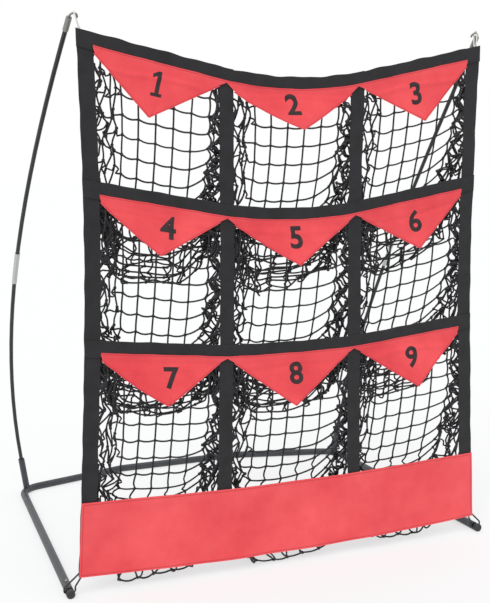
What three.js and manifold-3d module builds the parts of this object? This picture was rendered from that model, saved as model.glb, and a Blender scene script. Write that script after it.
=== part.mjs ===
// A nine-pocket target net, held upright by two springy bow poles on a U-shaped tube base.
// Millimetres, +Z up. X runs along the net, the open front faces -Y, the base reaches back to +Y.
// Every place is worked out from the net's own plane at y = 0, with the ground at z = 0.
// The finished group is then moved so that the origin lies under the middle of the object.

import * as THREE from 'three';
import { mergeVertices } from 'three/addons/utils/BufferGeometryUtils.js';
import Module from 'manifold-3d';

const wasm = await Module();
wasm.setup();

// ---------------------------------------------------------------- driving dimensions

// Base: two bent side tubes and a centre tube, steel
const tubeDiameter = 20;
const tubeWall = 1.2;
const legFrontHalfWidth = 543; // half the distance between the leg axes at the net
const legToeIn = 29; // how much closer together the rear corners are
const cornerDepth = 766; // the rear corners' distance behind the net
const legFrontY = 22; // where a leg tube stops, behind the net's plane
const cornerRadius = 70;
const kneeHalfWidth = 190; // the crossbar's slight bends
const kneeDepth = 851;
const kneeRadius = 60;
const jointHalfWidth = 130; // where the side tubes meet the centre tube
const sleeveLength = 90; // inner sleeve across that joint, half on each side

// Front end caps: each is a plug with a notch that the net's corner loop sits in
const capReach = 28; // from the tube's end to the tip of the cap
const capPlugDepth = 46;
const capPlugWall = 1.6;
const notchWidth = 7;
const notchFloor = 8; // height of the notch's bottom above the ground
const notchSetBack = 16; // from the tip of the cap to the middle of the notch
const capChamfer = 2;

// Spring buttons that lock the end caps
const buttonDiameter = 6;
const buttonSetBack = 32; // from the tube's end
const buttonProud = 2.2;
const buttonCrown = 1; // height of the rounded top
const buttonTravel = 2.6;
const collarDiameter = 8.4;
const collarThickness = 1.2;
const springWidth = 5;
const springThickness = 0.8;
const springLength = 30;

// Poles: two fibreglass rods each, joined by an aluminium ferrule
const rodDiameter = 10;
const socketDiameter = 17;
const socketLength = 100; // along the pole, from the corner tube's axis
const socketLean = new THREE.Vector3(0.16, -0.085, 1); // outwards, forwards, up
const rodFootGap = 14; // from the corner tube's axis to the rod's lower end
const tipOutset = 7; // the poles' tips from the net's top corners: outwards, back and up
const tipSetBack = 26;
const tipRise = 23;
const poleTipLean = new THREE.Vector3(-0.137, -0.963, 1);
const poleLowerPull = 395; // how stiffly the bow leaves the socket
const poleUpperPull = 499; // how stiffly it reaches the tip
const ferruleStart = 690; // along the pole from the corner tube's axis
const ferruleLength = 100;
const ferruleDiameter = 12.8;

// Tip caps with the hooks that the net's top corners hang on
const tipCapDiameter = 12.6;
const tipCapLength = 34;
const tipCapEnd = 4; // solid metal beyond the rod
const hookWire = 4.4;
const hookRadius = 8;
const hookNeck = 4;
const hookSweep = 200; // degrees

// Corner loops
const topCord = 3;
const bottomCord = 4;
const loopHold = 12; // how far a loop's ends run down behind the webbing
const loopSpread = 4; // between the two strands

// Webbing
const webbingThickness = 1.5;
const borderWidth = 36;
const innerStrapWidth = 34;
const crossStrapWidth = 38;
const topHalfWidth = 502; // the net's outline, to the border's outer edge
const waistHalfWidth = 494;
const footHalfWidth = 524;
const waistHeight = 800;
const innerStrapShare = 0.331; // inner straps stand at this share of the half width

// Upper edges of the cross straps, at the corner, at the inner straps and in the middle
const topCornerHeight = 1249;
const topCrossingHeight = 1176;
const topMiddleHeight = 1161;
const upperCornerHeight = 935;
const upperCrossingHeight = 875;
const upperMiddleHeight = 864;
const lowerCornerHeight = 586;
const lowerCrossingHeight = 552;
const lowerMiddleHeight = 549;
const bottomCornerHeight = 217;
const bottomCrossingHeight = 205;
const bottomMiddleHeight = 204;

// Lower edge of the banner
const bannerCornerHeight = 47;
const bannerMiddleHeight = 31;

// Flags and banner
const clothThickness = 1.2;
const headerOverlap = 11; // how far the red header covers the webbing's lower part
const headerPeak = 5; // header height where two flags meet
const foldDrop = 20; // from the header's upper edge to the fold the flag swings on
const foldBelowStrap = 2; // least room under the strap, so that the flag can swing back
const topFlagLength = 100; // from the middle of the fold to the flag's point
const middleFlagLength = 100;
const lowerFlagLength = 109;
const flagPointWidth = 3;
const flagLeans = [0, 36, 4, 26, 24, 6, 40, 14, 16]; // how far each flag curls forward, degrees
const flagSideClearance = 3.5; // flag to strap, so that it can swing through
const foldGap = 0.8;
const bannerRise = 2; // how far the banner's upper edge stands above the bottom strap's

// Pocket nets
const netThickness = 2.5;
const netHem = 9; // net behind the webbing at each edge
const pocketDepth = 104;
const pocketBelly = 224; // extra length that hangs in the bag
const bellyPlace = 0.8; // share of the net's height at which the bag hangs lowest
const bellySkew = 3.1;

// Gap between pieces that touch
const gap = 0.3;

// ---------------------------------------------------------------- fineness

const tubeSides = 16;
const rodSides = 12;
const cordSides = 8;
const tubeBendStep = THREE.MathUtils.degToRad(14);
const cordBendStep = THREE.MathUtils.degToRad(32);
const strapSteps = 12;
const pocketColumns = 8;
const pocketRows = 11;
const flagRows = 4;

// ---------------------------------------------------------------- layers of the net, front to back

const strapFrontY = -(webbingThickness + gap);
const clothBackY = strapFrontY - gap;
const clothMiddleY = clothBackY - clothThickness / 2;
const crossStrapMiddleY = strapFrontY + webbingThickness / 2;
const uprightMiddleY = webbingThickness / 2;
const netFrontY = webbingThickness + gap;

// ---------------------------------------------------------------- materials

function finish(color, roughness, metalness) {
  return new THREE.MeshStandardMaterial({ color, roughness, metalness });
}

const coatedSteel = finish(0x3a3d40, 0.45, 0.2);
const blackPlastic = finish(0x26282a, 0.5, 0);
const fibreglass = finish(0x1e1f21, 0.35, 0);
const aluminium = finish(0xa8aaa8, 0.35, 0.9);
const springSteel = finish(0x9a9c9e, 0.3, 0.9);
const blackWebbing = finish(0x2d2e31, 0.9, 0);
const redCloth = finish(0xf5454d, 0.75, 0);
const blackNet = finish(0x232426, 0.9, 0);
const paleCord = finish(0xd8dad6, 0.6, 0);

// ---------------------------------------------------------------- solids, cuts and joins

// A closed mesh as a solid that can be cut or joined
function toSolid(geometry) {
  const bare = geometry.clone();
  bare.deleteAttribute('normal');
  bare.deleteAttribute('uv');
  const merged = mergeVertices(bare, 1e-4);
  return new wasm.Manifold(new wasm.Mesh({
    numProp: 3,
    vertProperties: new Float32Array(merged.attributes.position.array),
    triVerts: new Uint32Array(merged.index.array),
  }));
}

// A solid back as a mesh
function toGeometry(solid) {
  const mesh = solid.getMesh();
  const geometry = new THREE.BufferGeometry();
  geometry.setAttribute('position', new THREE.BufferAttribute(mesh.vertProperties, 3));
  geometry.setIndex(new THREE.BufferAttribute(mesh.triVerts, 1));
  geometry.computeVertexNormals();
  return geometry;
}

// ---------------------------------------------------------------- sweeps along a path

// A path given by stations, each with its point and its direction
class StationPath extends THREE.Curve {
  constructor(stations) {
    super();
    this.stations = stations;
  }

  station(t) {
    return this.stations[Math.round(t * (this.stations.length - 1))];
  }

  getPoint(t, target = new THREE.Vector3()) {
    return target.copy(this.station(t).point);
  }

  getTangent(t, target = new THREE.Vector3()) {
    return target.copy(this.station(t).tangent);
  }

  getUtoTmapping(u) {
    return u;
  }
}

function direction(from, to) {
  return to.clone().sub(from).normalize();
}

// Stations along corners in space, with each inner corner rounded to an arc
function bentPath(corners, radii, bendStep) {
  const stations = [{ point: corners[0], tangent: direction(corners[0], corners[1]) }];
  for (let i = 1; i < corners.length - 1; i += 1) {
    const into = direction(corners[i - 1], corners[i]);
    const out = direction(corners[i], corners[i + 1]);
    const turn = into.angleTo(out);
    const radius = radii[i - 1];
    const axis = into.clone().cross(out).normalize();
    const start = corners[i].clone().addScaledVector(into, -radius * Math.tan(turn / 2));
    const centre = start.clone().addScaledVector(axis.clone().cross(into), radius);
    const steps = 2 * Math.ceil(turn / bendStep / 2);
    for (let k = 0; k <= steps; k += 1) {
      const spin = new THREE.Quaternion().setFromAxisAngle(axis, (turn * k) / steps);
      const point = start.clone().sub(centre).applyQuaternion(spin).add(centre);
      stations.push({ point, tangent: into.clone().applyQuaternion(spin) });
    }
  }
  const last = corners.length - 1;
  stations.push({ point: corners[last], tangent: direction(corners[last - 1], corners[last]) });
  return stations;
}

// Stations evenly along part of a curve, from one distance along it to another
function curveStations(curve, from, to, steps) {
  const whole = curve.getLength();
  const stations = [];
  for (let k = 0; k <= steps; k += 1) {
    const u = (from + ((to - from) * k) / steps) / whole;
    stations.push({ point: curve.getPointAt(u), tangent: curve.getTangentAt(u) });
  }
  return stations;
}

// Corners of a regular section whose flats touch a circle, one flat towards its first axis
function sectionPoints(radius, sides) {
  const cornerDistance = radius / Math.cos(Math.PI / sides);
  const points = [];
  for (let k = 0; k < sides; k += 1) {
    const angle = ((k + 0.5) / sides) * 2 * Math.PI;
    points.push(new THREE.Vector2(Math.cos(angle), Math.sin(angle)).multiplyScalar(cornerDistance));
  }
  return points;
}

// A rod, or a tube if it has a bore, along stations
function sweep(stations, radius, bore, sides) {
  const section = new THREE.Shape(sectionPoints(radius, sides));
  if (bore > 0) section.holes.push(new THREE.Path(sectionPoints(bore, sides).reverse()));
  return new THREE.ExtrudeGeometry(section, {
    steps: stations.length - 1,
    extrudePath: new StationPath(stations),
    bevelEnabled: false,
  });
}

// A turned piece: profile of [radius, distance along the axis], axis from origin along a direction
function turned(profile, sides, origin, along) {
  const widen = 1 / Math.cos(Math.PI / sides);
  const outline = profile.map(([r, y]) => new THREE.Vector2(r * widen, y));
  const geometry = new THREE.LatheGeometry(outline, sides);
  geometry.rotateY(Math.PI / sides);
  const turn = new THREE.Quaternion().setFromUnitVectors(new THREE.Vector3(0, 1, 0), along);
  geometry.applyQuaternion(turn);
  geometry.translate(origin.x, origin.y, origin.z);
  return geometry;
}

// ---------------------------------------------------------------- sheets

// A sheet of even thickness laid on a surface. surface(u, v) gives its middle, u across the
// columns and v down the rows, and the front is the side that the sheet's +Y side faces away from.
function sheet(columns, rows, thickness, surface) {
  const geometry = new THREE.BoxGeometry(1, 1, 1, columns, 1, rows);
  const position = geometry.attributes.position;
  const step = 1e-3;
  for (let i = 0; i < position.count; i += 1) {
    const u = position.getX(i) + 0.5;
    const v = 0.5 - position.getZ(i);
    const side = position.getY(i);
    const uLow = Math.max(0, u - step);
    const vLow = Math.max(0, v - step);
    const across = surface(Math.min(1, u + step), v).sub(surface(uLow, v));
    const down = surface(u, Math.min(1, v + step)).sub(surface(u, vLow));
    const normal = across.cross(down).normalize();
    const place = surface(u, v).addScaledVector(normal, side * thickness);
    position.setXYZ(i, place.x, place.y, place.z);
  }
  geometry.computeVertexNormals();
  return geometry;
}

// ---------------------------------------------------------------- outline of the net

const { lerp } = THREE.MathUtils;

const strapHeights = [
  { corner: topCornerHeight, crossing: topCrossingHeight, middle: topMiddleHeight },
  { corner: upperCornerHeight, crossing: upperCrossingHeight, middle: upperMiddleHeight },
  { corner: lowerCornerHeight, crossing: lowerCrossingHeight, middle: lowerMiddleHeight },
  { corner: bottomCornerHeight, crossing: bottomCrossingHeight, middle: bottomMiddleHeight },
];
const netTop = topCornerHeight;
const netFoot = bannerCornerHeight;

// Half the net's width at a height: widest at the foot, pulled in at the waist
function halfWidthAt(z) {
  if (z > waistHeight) {
    const share = (z - waistHeight) / (netTop - waistHeight);
    return lerp(waistHalfWidth, topHalfWidth, share ** 2);
  }
  const share = (waistHeight - z) / (waistHeight - netFoot);
  return lerp(waistHalfWidth, footHalfWidth, share ** 1.5);
}

function innerStrapAt(z) {
  return halfWidthAt(z) * innerStrapShare;
}

// Upper edge of a cross strap: straight from each corner to the inner strap, then a soft sag
function strapTop(line, x) {
  const crossingX = innerStrapAt(line.crossing);
  const cornerX = halfWidthAt(line.corner);
  const distance = Math.abs(x);
  if (distance <= crossingX) return lerp(line.middle, line.crossing, (distance / crossingX) ** 2);
  const share = (distance - crossingX) / (cornerX - crossingX);
  return lerp(line.crossing, line.corner, share);
}

// The x of a station along a cross strap, with stations at both inner straps
function alongStrap(line, end, u) {
  const crossing = innerStrapAt(line.crossing);
  const third = Math.min(2, Math.floor(3 * u));
  const stops = [-end, -crossing, crossing, end];
  return lerp(stops[third], stops[third + 1], 3 * u - third);
}

function bannerBottom(x) {
  return lerp(bannerMiddleHeight, bannerCornerHeight, (x / footHalfWidth) ** 2);
}

// The three openings of a row: the x of each opening's sides at a cross strap
function openings(line) {
  const inner = innerStrapAt(line.crossing);
  const border = halfWidthAt(line.corner) - borderWidth;
  const halfStrap = innerStrapWidth / 2;
  return [
    { left: -border, right: -inner - halfStrap, flagLeft: -border, flagRight: -inner },
    { left: -inner + halfStrap, right: inner - halfStrap, flagLeft: -inner, flagRight: inner },
    { left: inner + halfStrap, right: border, flagLeft: inner, flagRight: border },
  ];
}

// ---------------------------------------------------------------- webbing

function crossStrap(line) {
  return sheet(strapSteps, 1, webbingThickness, (u, v) => {
    const x = alongStrap(line, halfWidthAt(line.corner), u);
    return new THREE.Vector3(x, crossStrapMiddleY, strapTop(line, x) - v * crossStrapWidth);
  });
}

// An upright strap, from the top strap's upper edge down to a lower line
function upright(centreAt, width, lowerEdge) {
  return sheet(1, strapSteps, webbingThickness, (u, v) => {
    const offset = (u - 0.5) * width;
    const middle = lerp(netTop, netFoot, v);
    const x = centreAt(middle) + offset;
    const z = lerp(strapTop(strapHeights[0], x), lowerEdge(x), v);
    return new THREE.Vector3(centreAt(z) + offset, uprightMiddleY, z);
  });
}

function border(side) {
  const centreAt = (z) => side * (halfWidthAt(z) - borderWidth / 2);
  return upright(centreAt, borderWidth, bannerBottom);
}

function innerStrap(side) {
  const bottomLine = strapHeights[3];
  return upright((z) => side * innerStrapAt(z), innerStrapWidth,
    (x) => strapTop(bottomLine, x) - crossStrapWidth);
}

// ---------------------------------------------------------------- flags, headers and banner

// Upper edge of the red header along a cross strap
function headerTop(line, x) {
  return strapTop(line, x) - crossStrapWidth + headerOverlap;
}

// Where one flag's fold starts and ends. It is straight, and clears its strap where that sags.
function foldEnds(line, opening) {
  const left = opening.left + flagSideClearance;
  const right = opening.right - flagSideClearance;
  const chord = (headerTop(line, left) + headerTop(line, right)) / 2;
  const sag = chord - headerTop(line, (left + right) / 2);
  const drop = Math.max(foldDrop, sag + headerOverlap + foldBelowStrap);
  return [left, right].map((x) => new THREE.Vector2(x, headerTop(line, x) - drop));
}

// Lower edge of a header: a straight fold above each flag, rising to a peak between them
function headerBottomPoints(line) {
  const row = openings(line);
  const peak = (x) => new THREE.Vector2(x, headerTop(line, x) - headerPeak);
  const points = row.flatMap((opening) => {
    return [peak(opening.flagLeft), ...foldEnds(line, opening)];
  });
  return [...points, peak(row.at(-1).flagRight)];
}

function header(line) {
  const outline = headerBottomPoints(line);
  const end = outline.at(-1).x;
  for (let k = strapSteps; k >= 0; k -= 1) {
    const x = alongStrap(line, end, k / strapSteps);
    outline.push(new THREE.Vector2(x, headerTop(line, x)));
  }
  return flatCloth(outline);
}

// Cloth cut to an outline in the net's plane
function flatCloth(outline) {
  const geometry = new THREE.ExtrudeGeometry(new THREE.Shape(outline), {
    depth: clothThickness,
    bevelEnabled: false,
  });
  geometry.rotateX(Math.PI / 2);
  geometry.translate(0, clothBackY, 0);
  return geometry;
}

// A flag hangs square to its fold, a small gap below the header. It leaves the fold at half of its
// lean and curls on forward, so that its point stands off by the whole lean.
function flag(line, opening, length, lean) {
  const [left, right] = foldEnds(line, opening);
  const along = right.clone().sub(left);
  const foldWidth = along.length();
  along.normalize();
  const start = THREE.MathUtils.degToRad(lean) / 2;
  const curl = Math.max(THREE.MathUtils.degToRad(lean), 1e-4);
  return sheet(1, flagRows, clothThickness, (u, v) => {
    const fall = (length * (Math.sin(start + curl * v) - Math.sin(start))) / curl + foldGap;
    const forward = (length * (Math.cos(start) - Math.cos(start + curl * v))) / curl;
    const aside = foldWidth / 2 + (u - 0.5) * lerp(foldWidth, flagPointWidth, v);
    const x = left.x + along.x * aside + along.y * fall;
    const z = left.y + along.y * aside - along.x * fall;
    return new THREE.Vector3(x, clothMiddleY - forward, z);
  });
}

function banner() {
  const line = strapHeights[3];
  return sheet(strapSteps, 2, clothThickness, (u, v) => {
    const reach = (z) => alongStrap(line, halfWidthAt(z), u);
    const guess = lerp(line.corner, netFoot, v);
    const z = lerp(strapTop(line, reach(guess)) + bannerRise, bannerBottom(reach(guess)), v);
    return new THREE.Vector3(reach(z), clothMiddleY, z);
  });
}

// ---------------------------------------------------------------- pocket nets

// A pocket hangs from the strap above, bellies back and down, and comes up to the strap below
function pocket(upper, lower, column) {
  const top = openings(upper)[column];
  const foot = openings(lower)[column];
  return sheet(pocketColumns, pocketRows, netThickness, (u, v) => {
    const left = lerp(top.left, foot.left, v) - netHem;
    const right = lerp(top.right, foot.right, v) + netHem;
    const x = lerp(left, right, u);
    const fullness = 1 - Math.abs(2 * u - 1) ** 6;
    const zTop = strapTop(upper, x) - crossStrapWidth + netHem;
    const zFoot = strapTop(lower, x) - netHem;
    const hang = Math.sin(Math.PI * v ** bellySkew);
    const swell = v < bellyPlace
      ? Math.sin((Math.PI / 2) * (v / bellyPlace))
      : Math.cos((Math.PI / 2) * ((v - bellyPlace) / (1 - bellyPlace)) ** 2);
    const y = netFrontY + netThickness / 2 + pocketDepth * fullness * swell;
    return new THREE.Vector3(x, y, lerp(zTop, zFoot, v) - pocketBelly * fullness * hang);
  });
}

// ---------------------------------------------------------------- base

const tubeRadius = tubeDiameter / 2;
const tubeBore = tubeRadius - tubeWall;
const insertRadius = tubeBore - gap;

// Axis of one side tube: leg, rear corner, slight knee and the stretch to the centre tube
function sideTubeCorners(side) {
  const cornerHalfWidth = legFrontHalfWidth - legToeIn;
  const slope = -legToeIn / cornerDepth;
  const corner = (x, y) => new THREE.Vector3(side * x, y, tubeRadius);
  return [
    corner(legFrontHalfWidth + slope * legFrontY, legFrontY),
    corner(cornerHalfWidth, cornerDepth),
    corner(kneeHalfWidth, kneeDepth),
    corner(jointHalfWidth + gap / 2, kneeDepth),
  ];
}

function sideTubeStations(side) {
  return bentPath(sideTubeCorners(side), [cornerRadius, kneeRadius], tubeBendStep);
}

// Forward direction of a leg, and a point on its axis a distance behind the tube's end
function legAxis(side) {
  const [front, rear] = sideTubeCorners(side);
  return { front, forward: direction(rear, front) };
}

function buttonPlace(side) {
  const { front, forward } = legAxis(side);
  return front.clone().addScaledVector(forward, -buttonSetBack);
}

// The hole that a button's stem passes through
function buttonHole(side) {
  const place = buttonPlace(side);
  const length = 1.5 * tubeRadius;
  const hole = new THREE.CylinderGeometry(buttonDiameter / 2 + gap, buttonDiameter / 2 + gap,
    length, rodSides);
  hole.rotateX(Math.PI / 2);
  hole.translate(place.x, place.y, tubeRadius + length / 2);
  return toSolid(hole);
}

function sideTube(side) {
  const tube = toSolid(sweep(sideTubeStations(side), tubeRadius, tubeBore, tubeSides));
  return toGeometry(tube.subtract(buttonHole(side)));
}

function straightTube(from, to, y, radius, bore) {
  const along = new THREE.Vector3(1, 0, 0);
  const stations = [from, to].map((x) => ({
    point: new THREE.Vector3(x, y, tubeRadius),
    tangent: along,
  }));
  return sweep(stations, radius, bore, tubeSides);
}

function centreTube() {
  const end = jointHalfWidth - gap / 2;
  return straightTube(-end, end, kneeDepth, tubeRadius, tubeBore);
}

function jointSleeve(side) {
  const from = side * jointHalfWidth - sleeveLength / 2;
  return straightTube(from, from + sleeveLength, kneeDepth, insertRadius, insertRadius - tubeWall);
}

// End cap: a hollow plug in the tube, and a notched nose in front of it
function endCap(side) {
  const { front, forward } = legAxis(side);
  const nose = front.clone().addScaledVector(forward, capReach);
  const plugBore = insertRadius - capPlugWall;
  const shoulder = capReach - gap;
  const end = capReach + capPlugDepth;
  const body = turned([
    [0, 0],
    [tubeRadius - capChamfer, 0],
    [tubeRadius, capChamfer],
    [tubeRadius, shoulder],
    [insertRadius, shoulder],
    [insertRadius, end],
    [plugBore, end],
    [plugBore, capReach],
    [0, capReach],
  ], tubeSides, nose, forward.clone().negate());
  const notch = new THREE.BoxGeometry(2 * tubeDiameter, notchWidth, tubeDiameter);
  notch.rotateZ(Math.atan2(forward.x, -forward.y));
  const middle = nose.clone().addScaledVector(forward, -notchSetBack);
  notch.translate(middle.x, middle.y, notchFloor + tubeDiameter / 2);
  return toGeometry(toSolid(body).subtract(toSolid(notch)).subtract(buttonHole(side)));
}

// ---------------------------------------------------------------- spring buttons

const plugBoreTop = insertRadius - capPlugWall;
const collarTop = tubeRadius + Math.sqrt(plugBoreTop ** 2 - (collarDiameter / 2) ** 2) - gap;
const collarBottom = collarTop - collarThickness;

function springButton(side) {
  const place = buttonPlace(side);
  const stem = buttonDiameter / 2;
  const crown = tubeDiameter + buttonProud;
  const widen = Math.cos(Math.PI / rodSides);
  const profile = [
    [0, collarBottom],
    [collarDiameter / 2, collarBottom],
    [collarDiameter / 2, collarTop],
    [stem, collarTop],
    [stem, crown - buttonCrown],
    [0.7 * stem, crown - buttonCrown / 4],
    [0, crown],
  ].map(([r, z]) => [r * widen, z]);
  const origin = new THREE.Vector3(place.x, place.y, 0);
  return turned(profile, rodSides, origin, new THREE.Vector3(0, 0, 1));
}

// A V-shaped leaf spring that lies in the plug's bore and pushes the button up
function buttonSpring(side) {
  const place = buttonPlace(side);
  const { forward } = legAxis(side);
  const chord = Math.sqrt(plugBoreTop ** 2 - (springWidth / 2) ** 2);
  const low = tubeRadius - chord + gap;
  const high = collarBottom - gap;
  const t = springThickness;
  const reach = collarDiameter / 2;
  const leaf = new THREE.Shape([
    new THREE.Vector2(-reach, low),
    new THREE.Vector2(springLength, low),
    new THREE.Vector2(springLength + t, low + 1.5 * t),
    new THREE.Vector2(reach, high),
    new THREE.Vector2(-reach, high),
    new THREE.Vector2(-reach, high - t),
    new THREE.Vector2(reach, high - t),
    new THREE.Vector2(springLength - t, low + t),
    new THREE.Vector2(-reach, low + t),
  ]);
  const geometry = new THREE.ExtrudeGeometry(leaf, { depth: springWidth, bevelEnabled: false });
  geometry.translate(0, 0, -springWidth / 2);
  geometry.rotateX(Math.PI / 2);
  geometry.rotateZ(Math.atan2(-forward.y, -forward.x));
  geometry.translate(place.x, place.y, 0);
  return geometry;
}

// ---------------------------------------------------------------- poles

function mirrored(vector, side) {
  return new THREE.Vector3(side * vector.x, vector.y, vector.z);
}

// Where a pole's axis meets the corner tube's axis: the middle of the corner's bend
function poleFoot(side) {
  const [front, corner, knee] = sideTubeCorners(side);
  const bend = bentPath([front, corner, knee], [cornerRadius], tubeBendStep);
  return bend[(bend.length - 1) / 2].point.clone();
}

// A pole's axis: straight in its socket, then one bow up and forward to the tip
function poleAxis(side) {
  const foot = poleFoot(side);
  const lean = mirrored(socketLean, side).normalize();
  const tipLean = mirrored(poleTipLean, side).normalize();
  const mouth = foot.clone().addScaledVector(lean, socketLength);
  const tip = new THREE.Vector3(side * (topHalfWidth + tipOutset), tipSetBack, netTop + tipRise);
  const bow = new THREE.CubicBezierCurve3(
    mouth,
    mouth.clone().addScaledVector(lean, poleLowerPull),
    tip.clone().addScaledVector(tipLean, -poleUpperPull),
    tip,
  );
  return { foot, lean, mouth, tip, tipLean, bow };
}

function straightStations(start, along, from, to) {
  return [from, to].map((distance) => ({
    point: start.clone().addScaledVector(along, distance),
    tangent: along,
  }));
}

const rodRadius = rodDiameter / 2;
const rodBore = rodRadius + gap;
const ferruleMiddle = ferruleStart + ferruleLength / 2;

// Socket tube, cut to sit on the round of the corner
function socket(side) {
  const { foot, lean } = poleAxis(side);
  const stations = straightStations(foot, lean, 0, socketLength);
  const tube = toSolid(sweep(stations, socketDiameter / 2, rodBore, rodSides));
  const corner = toSolid(sweep(sideTubeStations(side), tubeRadius + gap, 0, tubeSides));
  return toGeometry(tube.subtract(corner));
}

function lowerRod(side) {
  const { foot, lean, bow } = poleAxis(side);
  const inSocket = straightStations(foot, lean, rodFootGap, socketLength).slice(0, 1);
  const bowed = curveStations(bow, 0, ferruleMiddle - socketLength - gap / 2, 10);
  return sweep([...inSocket, ...bowed], rodRadius, 0, rodSides);
}

function upperRod(side) {
  const { bow } = poleAxis(side);
  const from = ferruleMiddle - socketLength + gap / 2;
  const stations = curveStations(bow, from, bow.getLength() - tipCapEnd - gap, 10);
  return sweep(stations, rodRadius, 0, rodSides);
}

function ferrule(side) {
  const { bow } = poleAxis(side);
  const from = ferruleStart - socketLength;
  const stations = curveStations(bow, from, from + ferruleLength, 4);
  return sweep(stations, ferruleDiameter / 2, rodBore, rodSides);
}

// Direction in which a tip hook curls: inwards, square to the pole
function hookInward(side) {
  const { tipLean } = poleAxis(side);
  const inward = new THREE.Vector3(-side, 0, 0);
  return inward.addScaledVector(tipLean, -inward.dot(tipLean)).normalize();
}

function hookCentre(side) {
  const { tip, tipLean } = poleAxis(side);
  return tip.clone().addScaledVector(tipLean, hookNeck).addScaledVector(hookInward(side), hookRadius);
}

// Tip cap and its hook, one casting
function tipCap(side) {
  const { tip, tipLean, bow } = poleAxis(side);
  const whole = bow.getLength();
  const outer = curveStations(bow, whole - tipCapLength, whole, 2);
  const bored = curveStations(bow, whole - tipCapLength - 1, whole - tipCapEnd, 2);
  const shell = toSolid(sweep(outer, tipCapDiameter / 2, 0, rodSides));
  const bore = toSolid(sweep(bored, rodBore, 0, rodSides));
  const inward = hookInward(side);
  const centre = hookCentre(side);
  const stations = [{ point: tip.clone().addScaledVector(tipLean, -1), tangent: tipLean }];
  const steps = 12;
  for (let k = 0; k <= steps; k += 1) {
    const angle = THREE.MathUtils.degToRad((hookSweep * k) / steps);
    stations.push({
      point: centre.clone()
        .addScaledVector(inward, -hookRadius * Math.cos(angle))
        .addScaledVector(tipLean, hookRadius * Math.sin(angle)),
      tangent: inward.clone().multiplyScalar(Math.sin(angle))
        .addScaledVector(tipLean, Math.cos(angle)),
    });
  }
  const hook = toSolid(sweep(stations, hookWire / 2, 0, cordSides));
  return toGeometry(shell.subtract(bore).add(hook));
}

// ---------------------------------------------------------------- corner loops

// From the net's top corner through the hook, over its wire and back down
function topLoop(side) {
  const { tipLean } = poleAxis(side);
  const wire = hookCentre(side).addScaledVector(tipLean, hookRadius);
  const back = hookInward(side).cross(tipLean).multiplyScalar(side);
  const wrap = (hookWire + topCord) / 2 + 2 * gap;
  const y = netFrontY + topCord / 2;
  const z = netTop - loopHold;
  const held = (outward, height) => {
    const x = topHalfWidth - borderWidth / 3 + (outward * loopSpread) / 2;
    return new THREE.Vector3(side * x, y, height);
  };
  const around = (outward, behind, above) => wire.clone()
    .addScaledVector(back, behind * wrap)
    .addScaledVector(tipLean, above * wrap)
    .add(new THREE.Vector3((side * outward * loopSpread) / 2, 0, 0));
  const corners = [
    held(-1, z - loopHold),
    held(-1, z),
    around(-1, 1, -1),
    around(1, 1, 1),
    around(1, -0.6, 1),
    held(1, z),
    held(1, z - loopHold),
  ];
  const tight = 0.75 * wrap;
  const wide = 2 * wrap;
  const route = bentPath(corners, [wide, tight, tight, wrap, wide], cordBendStep);
  return sweep(route, topCord / 2, 0, cordSides);
}

// From the net's lower corner down one side of the end cap, across its notch and up the other
function bottomLoop(side) {
  const { front, forward } = legAxis(side);
  const notch = front.clone().addScaledVector(forward, capReach - notchSetBack);
  const y = netFrontY + bottomCord / 2;
  const x = footHalfWidth - borderWidth / 3;
  const z = netFoot + loopHold;
  const reach = tubeRadius / Math.cos(Math.PI / tubeSides) + bottomCord / 2 + 2 * gap;
  const low = notchFloor + bottomCord / 2 + gap;
  const strand = (outward) => [
    new THREE.Vector3(side * (x + outward * loopSpread), y, z + loopHold),
    new THREE.Vector3(side * (x + outward * loopSpread), y, z),
    new THREE.Vector3(notch.x + side * outward * reach, notch.y, tubeDiameter + 2),
    new THREE.Vector3(notch.x + side * outward * reach, notch.y, low),
  ];
  const corners = [...strand(1), ...strand(-1).reverse()];
  const turn = 2 * bottomCord;
  const radii = [turn, turn, bottomCord, bottomCord, turn, turn];
  return sweep(bentPath(corners, radii, cordBendStep), bottomCord / 2, 0, cordSides);
}

// ---------------------------------------------------------------- assembly

const assembly = new THREE.Group();

function place(name, geometry, material) {
  const mesh = new THREE.Mesh(geometry, material);
  mesh.name = name;
  assembly.add(mesh);
}

place('centre_tube', centreTube(), coatedSteel);

for (const [word, side] of [['left', -1], ['right', 1]]) {
  place(`${word}_side_tube`, sideTube(side), coatedSteel);
  place(`${word}_joint_sleeve`, jointSleeve(side), springSteel);
  place(`${word}_end_cap`, endCap(side), blackPlastic);
  place(`${word}_spring_button`, springButton(side), springSteel);
  place(`${word}_button_spring`, buttonSpring(side), springSteel);
  place(`${word}_pole_socket`, socket(side), coatedSteel);
  place(`${word}_lower_rod`, lowerRod(side), fibreglass);
  place(`${word}_upper_rod`, upperRod(side), fibreglass);
  place(`${word}_ferrule`, ferrule(side), aluminium);
  place(`${word}_tip_hook`, tipCap(side), aluminium);
  place(`${word}_top_loop`, topLoop(side), paleCord);
  place(`${word}_bottom_loop`, bottomLoop(side), blackNet);
  place(`${word}_border`, border(side), blackWebbing);
  place(`${word}_inner_strap`, innerStrap(side), blackWebbing);
}

const strapNames = ['top_strap', 'upper_cross_strap', 'lower_cross_strap', 'bottom_strap'];
strapNames.forEach((name, row) => place(name, crossStrap(strapHeights[row]), blackWebbing));

const rows = [['top', topFlagLength], ['middle', middleFlagLength], ['lower', lowerFlagLength]];
rows.forEach(([rowName, length], row) => {
  const line = strapHeights[row];
  place(`${rowName}_flag_header`, header(line), redCloth);
  openings(line).forEach((opening, column) => {
    const index = 3 * row + column;
    place(`flag_${index + 1}`, flag(line, opening, length, flagLeans[index]), redCloth);
    place(`pocket_net_${index + 1}`, pocket(line, strapHeights[row + 1], column), blackNet);
  });
});

place('banner', banner(), redCloth);

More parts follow.
